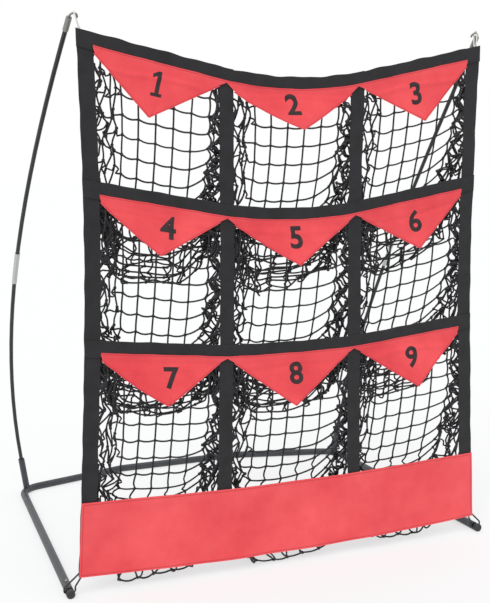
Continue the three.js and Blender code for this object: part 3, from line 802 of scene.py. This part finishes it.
# %% [markdown]
# ## Netting
# Each pocket is a piece of knotted square netting, with bars of 44.5 mm between the knots and twine
# just over 4 mm thick. It is wider and longer than its opening, so it hangs as a bag: five clean bars
# show in the middle, six more gather at each side in bunched diamonds, and the foot bags out behind
# the strap below. There the slack net crumples into tangles, and here and there it is drawn into a
# dark clump. In the bottom row, loops of it show under the banner.
# A pattern can't fake that. The twine is set out on the bag's surface, and a short simulation then lets
# it hang: bars hardly stretch, they may go slack, gravity pulls, and the edges stay sewn to the straps.
# Bunched bars are cut a tenth longer, so that they stay slack and keep their diamonds.
# All nine nets are solved at once with numpy, which takes about fifteen seconds and gives the same
# every time.

# %% Sizes of the netting
bars_across, bars_down = 17, 22
clean_rows = 7  # rows of knots that hang a bar apart, before the slack foot
parts = 3  # each bar is solved in this many pieces
bar_length, twine = 44.5, 4.3
gathered = 6  # bars bunched at each side
gather_shares = np.array([0, 0.2, 0.38, 0.56, 0.74, 0.9])  # their knots' ways to the clean middle
inset_top, inset_low, inset_fall = 0.13, 0.15, 0.5  # width of a bunch, at the top and from half-way down
net_front, behind_webbing = 3.05, 9  # behind the net's plane, and how far it runs on behind the straps
pocket_depth, pocket_belly = 104, 224  # how far a bag hangs back, and down below its strap
belly_place, belly_skew = 0.8, 3.1  # share of the way down where it is deepest, and how low it bellies
side_roundness = 6  # power: a bag keeps its depth nearly to its sides
straps_back = 3  # where the straps' backs lie, behind the net's plane
fine_steps = 300  # down the middle of a bag, to measure its length
# Powers of how long a net stays near its opening: as it hangs, and as the camera sees it
front_hang, seen_hang = 1.4, 6
bulge_shift = 0.75  # share of that difference made up by moving the clean cells aside
front_leg, front_leg_drop = 0.86, 16  # the bottom row's foot comes this far forward again, and down
leg_start, leg_reach, leg_end = 0.76, 0.1, 0.9  # shares of the way down
slack_rows = 4  # rows over which the slack sets in
tangle_spread, bunch_spread = (11, 8, 12), (4, 4, 5)  # how far knots wander along x, y and z
zigzag, diamond = 8, 10  # how far bunched knots stand off their lines, aside and up or down
clump_pull, clump_radius = 0.6, 45
# Middles of the clumps in each net, as x and z in the net's plane
clumps = [
    [(-252, 738), (-256, 704), (-408, 760)], [(-37, 729), (150, 704)], [(323, 725)],
    [(-340, 426), (-400, 415)], [(-63, 423), (109, 388)], [(310, 400)],
    [], [], [],
]
clean_shifts = [18, 12, 8, 12, 12, 8, 14, 18, 8]  # how far each clean middle hangs to the right
random = np.random.default_rng(45)
print("a net is cut", round(bars_across * bar_length), "by", round(bars_down * bar_length), "mm")

# %% Set out the knots
def bag_point(row, column, u, v, slow=1):
    """The bag's surface, in millimetres. A higher slow keeps it close behind its opening for longer."""
    top, foot = openings(strap_lines[row])[column], openings(strap_lines[row + 1])[column]
    left = blend_between(top[0], foot[0], v) - behind_webbing
    right = blend_between(top[1], foot[1], v) + behind_webbing
    x = blend_between(left, right, u)
    full = 1 - abs(2 * u - 1) ** side_roundness
    high = strap_top(strap_lines[row], x) - cross_width + behind_webbing
    low = strap_top(strap_lines[row + 1], x) - behind_webbing
    if v < belly_place:
        back = math.sin(math.pi / 2 * v / belly_place) ** slow
    else:
        back = math.cos(math.pi / 2 * ((v - belly_place) / (1 - belly_place)) ** 2)
    z = blend_between(high, low, v) - pocket_belly * full * math.sin(math.pi * v ** belly_skew)
    return np.array((x, net_front + pocket_depth * full * back, z))


def knot_rows(points):
    """Shares 0..1 of a fine polyline: one bar apart at first, then closer, where the net is slack."""
    lengths = np.r_[0, np.cumsum(np.linalg.norm(np.diff(points, axis=0), axis=1))]
    taut = clean_rows * bar_length
    stops = np.r_[np.arange(clean_rows) * bar_length,
                  np.linspace(taut, lengths[-1], bars_down + 1 - clean_rows)]
    return np.interp(stops, lengths, np.linspace(0, 1, len(points)))


def knot_columns(v, shift):
    """Shares across the bag: even in the middle, with the rest gathered at each side."""
    inset = blend_between(inset_top, inset_low, min(1, v / inset_fall))
    left, right = inset + shift, 1 - inset + shift
    middle = np.linspace(left, right, bars_across - 2 * gathered + 1)
    return np.r_[gather_shares * left, middle, 1 - (gather_shares * (1 - right))[::-1]]


def set_out(row, column):
    """Knot targets of one net, rows by columns by xyz."""
    fine = np.array([bag_point(row, column, 0.5, v, front_hang)
                     for v in np.linspace(0, 1, fine_steps)])
    downs = knot_rows(fine)
    left, right = openings(strap_lines[row])[column]
    aside = ((left + right) / 2 + camera_left) / camera_ahead
    spots = []
    for v in downs:
        out = math.sin(math.pi / 2 * min(1, v / belly_place))
        shift = clean_shifts[3 * row + column] + bulge_shift * aside * pocket_depth * (
            out ** front_hang - out ** seen_hang)
        spots.append([bag_point(row, column, u, v, front_hang)
                      for u in knot_columns(v, shift / (right - left))])
    spots = np.array(spots)
    if row == 2:
        near = np.clip((downs - leg_start) / leg_reach, 0, 1)[:, None]
        spots[..., 1] -= front_leg * near * (spots[..., 1] - straps_back)
        spots[..., 2] -= front_leg_drop * near * (downs < leg_end)[:, None]
    return tangle(spots, clumps[3 * row + column])


def tangle(spots, gathers):
    """Crumples the slack foot of a bag: each knot wanders, and some are drawn into dark clumps."""
    slack = np.clip((np.arange(bars_down + 1) - clean_rows) / slack_rows, 0, 1)
    slack = slack[:, None] * np.ones(bars_across + 1)
    slack[-1] = slack[:, 0] = slack[:, -1] = 0
    spots = spots + random.normal(0, 1, spots.shape) * tangle_spread * slack[..., None]
    row, column = np.indices(slack.shape)
    bunched = (np.minimum(column, bars_across - column) < gathered) & (column > 0)
    bunched &= (column < bars_across) & (row > 0) & (row < bars_down)
    turn = np.where((row + column) % 2, 1, -1) * bunched
    spots[..., 0] += zigzag * turn
    spots[..., 2] += diamond * np.where(column % 2, 1, -1) * bunched
    spots += random.normal(0, 1, spots.shape) * bunch_spread * bunched[..., None]
    for x, z in gathers:
        gap = spots - (x, 0, z)
        gap[..., 1] = 0
        pull = clump_pull * np.exp(-(np.linalg.norm(gap, axis=2) / clump_radius) ** 2) * slack
        spots = spots - pull[..., None] * gap
    return spots


knots = np.array([set_out(*divmod(index, 3)) for index in range(9)])
print("knots per net:", knots.shape[1] * knots.shape[2])

# %% Number the points of a net
def fill_bars(ends_a, ends_b):
    """Points inside the bars between two sets of knots."""
    shares = np.arange(1, parts) / parts
    return ends_a[..., None, :] + (ends_b - ends_a)[..., None, :] * shares[:, None]


def strands_through(lines, count):
    """Each line of knots, with the numbers of the new points inside its bars put in."""
    strands = []
    for line in lines:
        strand = [line[0]]
        for knot in line[1:]:
            strand += [*range(count, count + parts - 1), knot]
            count += parts - 1
        strands.append(strand)
    return np.array(strands), count


def lay_points(targets, across, down, count):
    """The points of all nets at the start: the knots first, then those inside the bars."""
    nets, rows, columns, _ = targets.shape
    place = np.zeros((nets, count, 3))
    place[:, :rows * columns] = targets.reshape(nets, -1, 3)
    inside = across[:, 1:].reshape(rows, bars_across, parts)[..., :-1]
    place[:, inside] = fill_bars(targets[:, :, :-1], targets[:, :, 1:])
    inside = down[:, 1:].reshape(columns, bars_down, parts)[..., :-1]
    place[:, inside] = fill_bars(targets[:, :-1], targets[:, 1:]).transpose(0, 2, 1, 3, 4)
    return place


def point_kinds(across, down, count):
    """Which points are sewn to the straps, which are in the clean middle, and how far down each is."""
    sewn = np.zeros(count, bool)
    for strand in (across[0], across[-1], down[0], down[-1]):
        sewn[strand] = True
    clean = np.zeros(count, bool)
    reach = np.zeros(count)
    for r, strand in enumerate(across):
        reach[strand] = r / bars_down
        clean[strand[gathered * parts:-gathered * parts]] = True
    for c, strand in enumerate(down):
        reach[strand] = np.linspace(0, 1, len(strand))
        clean[strand] = gathered <= c <= bars_across - gathered
    return sewn, clean, reach


knot_numbers = np.arange(knots[0, ..., 0].size).reshape(bars_down + 1, bars_across + 1)
strands_across, points_used = strands_through(knot_numbers, knot_numbers.size)
strands_down, points_used = strands_through(knot_numbers.T, points_used)
print("points per net:", points_used)

# %% Let the nets hang
slack_from, slack_over = 0.42, 0.25  # shares of the way down where slack starts, and over which it grows
slack_sag, belly_drop = 2, 24  # how far the bars' insides and the slack foot drop at the start
bunch_slack = 1.1
start_noise = 7.5  # makes slack bars buckle
clean_noise, foot_noise, bunch_noise = 0.2, 1.0, 1.0  # shares of it; the foot's is added
speed_kept, fall_per_step = 0.9, 0.12
home_pull = 0.06  # a small pull to where each point was set out, which keeps the bag's shape
clean_hold, clean_foot_hold = 0.1, 0.15  # shares of that pull in the middle; the foot's is added
bunch_hold, bunch_foot_hold = 0.7, -0.4  # and in the bunches
push_back = 0.12  # share of its slack that a bar makes up
bend_share = 0.1  # how much of a bend the stiff twine takes out
nearest_webbing, nearest_ground = 4.5, 4.0
hang_steps = 240
taut_passes = 5


def bar_groups(clean):
    """Bar pieces as ends and lengths, in four groups in which none shares an end with another."""
    groups = []
    for strands in (strands_across, strands_down):
        for first in (0, 1):
            a = strands[:, :-1][:, first::2].ravel()
            b = strands[:, 1:][:, first::2].ravel()
            loose = np.where(clean[a] | clean[b], 1, bunch_slack)[:, None]
            groups.append((a, b, loose * bar_length / parts))
    return groups


def pull_taut(place, free, groups):
    """Draws each bar that is too long back to its length. A slack one only makes up a little."""
    for a, b, rest in groups:
        gap = place[:, b] - place[:, a]
        length = np.linalg.norm(gap, axis=2, keepdims=True) + 1e-9
        strain = (length - rest) / length
        strain = np.where(strain > 0, strain, push_back * strain)
        total = np.maximum(free[a] + free[b], 1e-9)
        place[:, a] += gap * strain * free[a] / total
        place[:, b] -= gap * strain * free[b] / total


def straighten(place, free):
    """Moves each point a little towards the middle between its neighbours."""
    for strands in (strands_across, strands_down):
        inner = strands[:, 1:-1]
        bend = (place[:, strands[:, :-2]] + place[:, strands[:, 2:]]) / 2 - place[:, inner]
        place[:, inner] += bend_share * bend * free[inner]


def hang_nets(targets):
    place = lay_points(targets, strands_across, strands_down, points_used)
    sewn, clean, reach = point_kinds(strands_across, strands_down, points_used)
    lower = np.clip((reach - slack_from) / slack_over, 0, 1) * ~sewn
    noise = np.where(clean, clean_noise + foot_noise * lower, bunch_noise)
    home_hold = np.where(clean, clean_hold + clean_foot_hold * lower,
                         bunch_hold + bunch_foot_hold * lower)
    inside_bars = strands_across[1:-1, np.arange(strands_across.shape[1]) % parts > 0]
    place[:, inside_bars, 2] -= slack_sag
    place[..., 2] -= belly_drop * lower
    home = place.copy()
    place += random.normal(0, start_noise, place.shape) * noise[:, None] * ~sewn[:, None]
    free = (~sewn).astype(float)[:, None]
    groups = bar_groups(clean)
    speed = np.zeros_like(place)
    for _ in range(hang_steps):
        speed = speed_kept * speed
        speed[..., 2] -= fall_per_step
        before = place.copy()
        place += speed * free
        place += home_pull * (home - place) * home_hold[:, None] * free
        for _ in range(taut_passes):
            pull_taut(place, free, groups)
        straighten(place, free)
        place[:, ~sewn, 1] = np.maximum(place[:, ~sewn, 1], nearest_webbing)
        place[..., 2] = np.maximum(place[..., 2], nearest_ground)
        speed = place - before
    return place


particles = hang_nets(knots)
rows_measured = strands_across[5:8]
spans = particles[:, rows_measured[:, parts::parts]] - particles[:, rows_measured[:, :-parts:parts]]
bars = np.linalg.norm(spans, axis=3)
print("longest bar now", round(float(bars.max()), 1), "mm, foot of the lowest bag at",
      round(float(particles[..., 2].min())), "mm")

# %% [markdown]
# ## Twine
# Netting twine is twisted black polyethylene. It has a soft waxy shine, and the three plies show as
# slanted bands 4 mm long. Hundreds of metres of it hang here, so each strand is one curve with six
# sides, and each knot a small lump of twenty faces.

# %% Finish: twisted polyethylene twine
def twisted_twine(name, dark, light, scale):
    material, tree = new_finish(name)
    place = add(tree, "ShaderNodeTexCoord").outputs["Object"]
    plies = add(tree, "ShaderNodeTexWave", {"Vector": place, "Scale": scale, "Distortion": 1.5,
                "Detail": 1.0}, bands_direction="DIAGONAL")
    tone = add(tree, "ShaderNodeMix", {"Factor": plies.outputs["Fac"], 6: colour(dark),
               7: colour(light)}, data_type="RGBA")
    bump = add(tree, "ShaderNodeBump", {"Height": plies.outputs["Fac"], "Strength": 0.6,
               "Distance": 0.0006})
    shader = add(tree, "ShaderNodeBsdfPrincipled", {"Base Color": tone.outputs[2],
                 "Roughness": 0.6, "Normal": bump.outputs["Normal"]})
    close_finish(tree, shader.outputs[0])
    return material


black_twine = twisted_twine("twisted_polyethylene_twine", "#1b1b1e", "#303034", 80.0)
print("made", black_twine.name)

# %% Make the netting
knot_radius, knot_width = 0.0036, 1.25  # metres, and how much wider a knot is than it is deep
knot_turn, knot_axis = 0.7, (0.3, 1, 0.2)  # each knot is turned further, so that no two look alike
swell_fades = 40  # millimetres behind the straps over which the panel's swell fades out


def smooth_strand(points, cuts=2):
    """A rounder run that still passes through the points, with cuts steps for each piece."""
    padded = np.vstack((2 * points[0] - points[1], points, 2 * points[-1] - points[-2]))
    a, b, c, d = padded[:-3], padded[1:-2], padded[2:-1], padded[3:]
    run = []
    for k in range(cuts):
        t = k / cuts
        run.append(0.5 * (2 * b + (c - a) * t + (2 * a - 5 * b + 4 * c - d) * t ** 2
                          + (3 * b - a - 3 * c + d) * t ** 3))
    run = np.stack(run, 1).reshape(-1, 3)
    return np.vstack((run, points[-1]))


def cord_curve(name, runs, thickness, sides=1, closed=False):
    """Round cord along runs of points in metres, as a mesh."""
    curve = bpy.data.curves.new(name, "CURVE")
    curve.dimensions = "3D"
    curve.bevel_depth = thickness / 2
    curve.bevel_resolution = sides
    curve.use_fill_caps = True
    for run in runs:
        spline = curve.splines.new("POLY")
        spline.points.add(len(run) - 1)
        spline.points.foreach_set("co", np.c_[run, np.ones(len(run))].ravel())
        spline.use_cyclic_u = closed
        spline.use_smooth = True
    return plain_mesh(put(name, curve))


def to_scene(points):
    """Net millimetres to scene metres, with the panel's own swell fading out behind the straps."""
    out = np.array(points, float)
    fades = 1 - (out[:, 1] - straps_back) / swell_fades
    shift = np.array([swell(x, z) * max(0.0, fade) for (x, _, z), fade in zip(out, fades)])
    out[:, 1] += shift + net_plane
    return out / 1000


def make_netting(index):
    name = f"pocket_net_{index + 1}"
    place = particles[index]
    runs = [smooth_strand(place[chain]) for chain in strands_across[1:-1]]
    runs += [smooth_strand(place[chain]) for chain in strands_down[1:-1]]
    mesh = cord_curve(name + "_twine", [to_scene(run) for run in runs], twine / 1000)
    bm = bmesh.new()
    bm.from_mesh(mesh)
    lumps = to_scene(place[strands_across[1:-1, parts:-1:parts]].reshape(-1, 3))
    lump = Matrix.Diagonal((knot_width, 1, knot_width, 1))
    for k, spot in enumerate(lumps):
        turn = Matrix.Rotation(knot_turn * k, 4, knot_axis) @ lump
        bmesh.ops.create_icosphere(bm, subdivisions=1, radius=knot_radius,
                                   matrix=Matrix.Translation(spot) @ turn)
    for face in bm.faces:
        face.smooth = True
    bm.to_mesh(mesh)
    bm.free()
    piece = own(name + "_twine", mesh, black_twine, stands_for=[name])
    return piece


nets = [make_netting(index) for index in range(9)]
print("made", len(nets), "nets,", sum(len(n.data.polygons) for n in nets), "faces")

# %% [markdown]
# ## Edge cords
# Behind the straps, each net's edge meshes are threaded on a cord, and the cord is sewn to the tape.
# Seen from the back it is what holds the pockets, so it has to be there.

# %% Make the edge cords
edge_cord_thickness = 0.0034
edge_cord_steps = 27  # on each of the four sides
bag_corners = [(0, 0), (1, 0), (1, 1), (0, 1), (0, 0)]


def edge_cord(index):
    row, column = divmod(index, 3)
    around = []
    for start, end in zip(bag_corners, bag_corners[1:]):
        for u, v in np.linspace(start, end, edge_cord_steps + 1)[:-1]:
            around.append(bag_point(row, column, u, v))
    name = f"edge_cord_{index + 1}"
    mesh = cord_curve(name, [to_scene(around)], edge_cord_thickness, closed=True)
    piece = own(name, mesh, black_twine)
    return piece


edge_cords = [edge_cord(index) for index in range(9)]
print("made", len(edge_cords), "edge cords")

# %% [markdown]
# ## Metal, rods and plastic
# The hard parts keep their CAD shape and only get finishes. Tubes are mild steel with a satin powder
# coat: dark grey, a fine orange-peel skin, and a soft highlight along the tube. The rods are pultruded
# fibreglass, nearly black, with faint streaks along them. Ferrules are drawn aluminium with fine rings,
# hooks are cast zinc, caps are moulded plastic, and buttons and springs are zinc-plated steel.

# %% Finishes: coated steel, fibreglass and plastic
def marked_surface(tree, tone, marks, roughness, strength, depth, metallic):
    """A surface whose gloss and skin follow the same fine marks. roughness is its least and most."""
    gloss = add(tree, "ShaderNodeMapRange", {"Value": marks, "To Min": roughness[0],
                "To Max": roughness[1]})
    bump = add(tree, "ShaderNodeBump", {"Height": marks, "Strength": strength, "Distance": depth})
    shader = add(tree, "ShaderNodeBsdfPrincipled", {"Base Color": tone, "Metallic": metallic,
                 "Roughness": gloss.outputs[0], "Normal": bump.outputs["Normal"]})
    close_finish(tree, shader.outputs[0])


def coated(name, dark, light, roughness, grain, depth, stretch=(1, 1, 1)):
    """A coat over a hard part: cloudy colour, and a fine skin whose grain is given per metre."""
    material, tree = new_finish(name)
    place = add(tree, "ShaderNodeTexCoord").outputs["Object"]
    run = add(tree, "ShaderNodeMapping", {"Vector": place, "Scale": stretch}).outputs[0]
    tone = mottle(tree, run, {"Scale": 22.0, "Detail": 4.0}, (0.3, dark), (0.75, light))
    skin = add(tree, "ShaderNodeTexNoise", {"Vector": run, "Scale": grain, "Detail": 2.0})
    marked_surface(tree, tone, skin.outputs["Fac"], (roughness - 0.06, roughness + 0.08),
                   strength=0.25, depth=depth, metallic=0)
    return material


powder_coat = coated("satin_powder_coated_steel", "#34373b", "#43474b", 0.42, 900.0, 0.0003)
fibreglass = coated("pultruded_black_fibreglass", "#1a1b1d", "#2a2b2e", 0.34, 300.0, 0.0002,
                    (1, 1, 0.08))
black_plastic = coated("moulded_black_polypropylene", "#1f2022", "#2b2c2f", 0.5, 1400.0, 0.0003)
print("made", powder_coat.name, fibreglass.name, black_plastic.name)

# %% Finishes: bare metals
def bare_metal(name, dark, light, roughness, grain, stretch):
    """Bare metal with fine marks that run one way."""
    material, tree = new_finish(name)
    place = add(tree, "ShaderNodeTexCoord").outputs["Object"]
    run = add(tree, "ShaderNodeMapping", {"Vector": place, "Scale": stretch}).outputs[0]
    noise = add(tree, "ShaderNodeTexNoise", {"Vector": run, "Scale": grain, "Detail": 3.0})
    marks = noise.outputs["Fac"]
    tone = add(tree, "ShaderNodeMix", {"Factor": marks, 6: colour(dark), 7: colour(light)},
               data_type="RGBA")
    marked_surface(tree, tone.outputs[2], marks, (roughness - 0.08, roughness + 0.1),
                   strength=0.2, depth=0.0003, metallic=1)
    return material


drawn_aluminium = bare_metal("drawn_aluminium", "#a9abac", "#d5d7d7", 0.38, 60.0, (1, 1, 14))
cast_zinc = bare_metal("cast_zinc", "#83857f", "#a3a59f", 0.5, 420.0, (1, 1, 1))
zinc_plate = bare_metal("zinc_plated_spring_steel", "#a4a6a8", "#c9cbcc", 0.3, 300.0, (1, 1, 1))

finishes = {
    "side_tube": powder_coat, "centre_tube": powder_coat, "pole_socket": powder_coat,
    "lower_rod": fibreglass, "upper_rod": fibreglass, "end_cap": black_plastic,
    "ferrule": drawn_aluminium, "tip_hook": cast_zinc, "joint_sleeve": zinc_plate,
    "spring_button": zinc_plate, "button_spring": zinc_plate,
}
for name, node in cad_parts.items():
    for ending, material in finishes.items():
        if name.endswith(ending):
            dress(node.data, material)
print("finished", sum(name.endswith(tuple(finishes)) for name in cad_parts), "CAD nodes")

# %% [markdown]
# ## Corner loops
# A pale braided cord loops from each upper corner of the net over its hook. At the foot, a thicker black
# cord drops from the corner, through the notch in the end cap and up again. Both are pulled tight, so
# they run straight between what they pass round.

# %% Sizes of the loops and what they pass round
# Places and sizes as in the CAD, on the right; the left side is mirrored
pole_tip, pole_tip_lean = (509, 26, 1272), (-0.137, -0.963, 1)
hook_wire, hook_radius, hook_neck = 4.4, 8, 4
leg_half_width, leg_toe_in, corner_depth = 543, 29, 766  # the rear corners stand closer by the toe-in
leg_front, tube_radius, tube_sides = 22, 10, 16
notch_ahead, notch_floor = 12, 8  # before the tube's end, and above the ground
top_cord, bottom_cord = 3, 4
loop_hold, loop_spread = 12, 4  # length behind the webbing, and how far the strands spread
webbing_back, cord_gap = 1.8, 0.6
bend_step = 0.35  # radians
pale_braid = twisted_twine("braided_polyester_cord", "#c9cbc6", "#ecece8", 160.0)
print("made", pale_braid.name)

# %% Route and make the loops
def rounded_run(corners, radii):
    """Points along corners in space with each inner corner rounded to an arc."""
    points = [corners[0]]
    for before, corner, after, radius in zip(corners, corners[1:], corners[2:], radii):
        into, out = (corner - before).normalized(), (after - corner).normalized()
        turn = into.angle(out)
        axis = into.cross(out).normalized()
        start = corner - into * radius * math.tan(turn / 2)
        centre = start + axis.cross(into) * radius
        steps = max(4, math.ceil(turn / bend_step))
        for k in range(steps + 1):
            points.append(centre + Matrix.Rotation(turn * k / steps, 3, axis) @ (start - centre))
    return points + [corners[-1]]


def top_loop_route(side):
    """From behind the border up through the hook, over its wire and back down."""
    tip = Vector((side * pole_tip[0], *pole_tip[1:]))
    lean = Vector((side * pole_tip_lean[0], *pole_tip_lean[1:])).normalized()
    inward = Vector((-side, 0, 0))
    inward = (inward - lean * inward.dot(lean)).normalized()
    wire = tip + lean * hook_neck + inward * hook_radius + lean * hook_radius
    back = inward.cross(lean) * side
    wrap = (hook_wire + top_cord) / 2 + cord_gap
    held_x, held_y = half_width_top - border_width / 3, webbing_back + top_cord / 2
    apart = loop_spread / 2

    def held(outward, holds):
        return Vector((side * (held_x + outward * apart), held_y, net_top - holds * loop_hold))

    def around(outward, behind, above):
        offset = Vector((side * outward * apart, 0, 0))
        return wire + back * behind * wrap + lean * above * wrap + offset

    corners = [held(-1, 2), held(-1, 1), around(-1, 1, -1), around(1, 1, 1),
               around(1, -0.6, 1), held(1, 1), held(1, 2)]
    return rounded_run(corners, [2 * wrap, 0.75 * wrap, 0.75 * wrap, wrap, 2 * wrap])


def bottom_loop_route(side):
    """From behind the border down one side of the end cap, through its notch and up the other."""
    front_x = leg_half_width - leg_toe_in / corner_depth * leg_front
    front = Vector((side * front_x, leg_front, tube_radius))
    rear = Vector((side * (leg_half_width - leg_toe_in), corner_depth, tube_radius))
    notch = front + (front - rear).normalized() * notch_ahead
    reach = tube_radius / math.cos(math.pi / tube_sides) + bottom_cord / 2 + cord_gap
    held_x, held_y = half_width_foot - border_width / 3, webbing_back + bottom_cord / 2
    strands = []
    for outward in (1, -1):
        at_border = side * (held_x + outward * loop_spread)
        at_cap = notch.x + side * outward * reach
        strands.append([
            Vector((at_border, held_y, net_foot + 2 * loop_hold)),
            Vector((at_border, held_y, net_foot + loop_hold)),
            Vector((at_cap, notch.y, 2 * tube_radius + 2)),
            Vector((at_cap, notch.y, notch_floor + (bottom_cord + cord_gap) / 2)),
        ])
    wide, tight = 2 * bottom_cord, bottom_cord
    return rounded_run(strands[0] + strands[1][::-1], [wide, wide, tight, tight, wide, wide])


def make_loop(name, route, thickness, material):
    run = np.array([(p.x, p.y + net_plane, p.z) for p in route]) / 1000
    mesh = cord_curve(name + "_cord", [run], thickness / 1000, sides=3)
    piece = own(name + "_cord", mesh, material, stands_for=[name])
    return piece


for word, side in (("left", -1), ("right", 1)):
    make_loop(f"{word}_top_loop", top_loop_route(side), top_cord, pale_braid)
    make_loop(f"{word}_bottom_loop", bottom_loop_route(side), bottom_cord, black_twine)

# %% [markdown]
# ## Studio
# The object stands on a plain pale floor under soft light. One broad sun gives the soft shadow, and a
# pale world fills from all sides. The camera, reflections and clear parts see the world and the floor
# as white, and the floor stays partly a real surface, so that the shadow stays on it.

# %% Floor, world and lights
def camera_sees(tree):
    """1 for camera, glossy and transmission rays, 0 for the rest."""
    path = add(tree, "ShaderNodeLightPath")
    first = add(tree, "ShaderNodeMath", {0: path.outputs["Is Camera Ray"],
                1: path.outputs["Is Glossy Ray"]}, operation="ADD")
    return add(tree, "ShaderNodeMath", {0: first.outputs[0],
               1: path.outputs["Is Transmission Ray"]}, operation="ADD", use_clamp=True).outputs[0]


def pale_floor():
    material, tree = new_finish("pale_studio_floor")
    matt = add(tree, "ShaderNodeBsdfDiffuse", {"Color": colour("#f4f6f7")})
    white = add(tree, "ShaderNodeEmission", {"Color": (1, 1, 1, 1), "Strength": 1.0})
    share = add(tree, "ShaderNodeMath", {0: camera_sees(tree), 1: 0.62}, operation="MULTIPLY")
    surface = add(tree, "ShaderNodeMixShader", {0: share.outputs[0], 1: matt.outputs[0],
                  2: white.outputs[0]})
    close_finish(tree, surface.outputs[0])
    return material


bm = bmesh.new()
bmesh.ops.create_grid(bm, x_segments=8, y_segments=8, size=30)
floor = put("studio_floor", mesh_of(bm, "studio_floor"))
dress(floor.data, pale_floor())

world = bpy.data.worlds.new("studio_world")
bpy.context.scene.world = world
world.use_nodes = True
world.node_tree.nodes.clear()
fill_level = add(world.node_tree, "ShaderNodeMapRange", {"Value": camera_sees(world.node_tree),
                 "To Min": 0.75, "To Max": 1.0})
sky = add(world.node_tree, "ShaderNodeBackground", {"Color": (1, 1, 1, 1),
          "Strength": fill_level.outputs[0]})
add(world.node_tree, "ShaderNodeOutputWorld", {"Surface": sky.outputs[0]})


def soft_sun(name, strength, spread, down, around):
    """A sun as wide as spread, this far down from level and turned around the upright. All in degrees."""
    lamp = bpy.data.lights.new(name, "SUN")
    lamp.energy = strength
    lamp.angle = math.radians(spread)
    holder = put(name, lamp)
    holder.rotation_euler = (math.radians(90 - down), 0, math.radians(around))


soft_sun("key_sun", strength=1.35, spread=40, down=48, around=-35)
bpy.context.scene.view_settings.view_transform = "Standard"
print("studio ready")
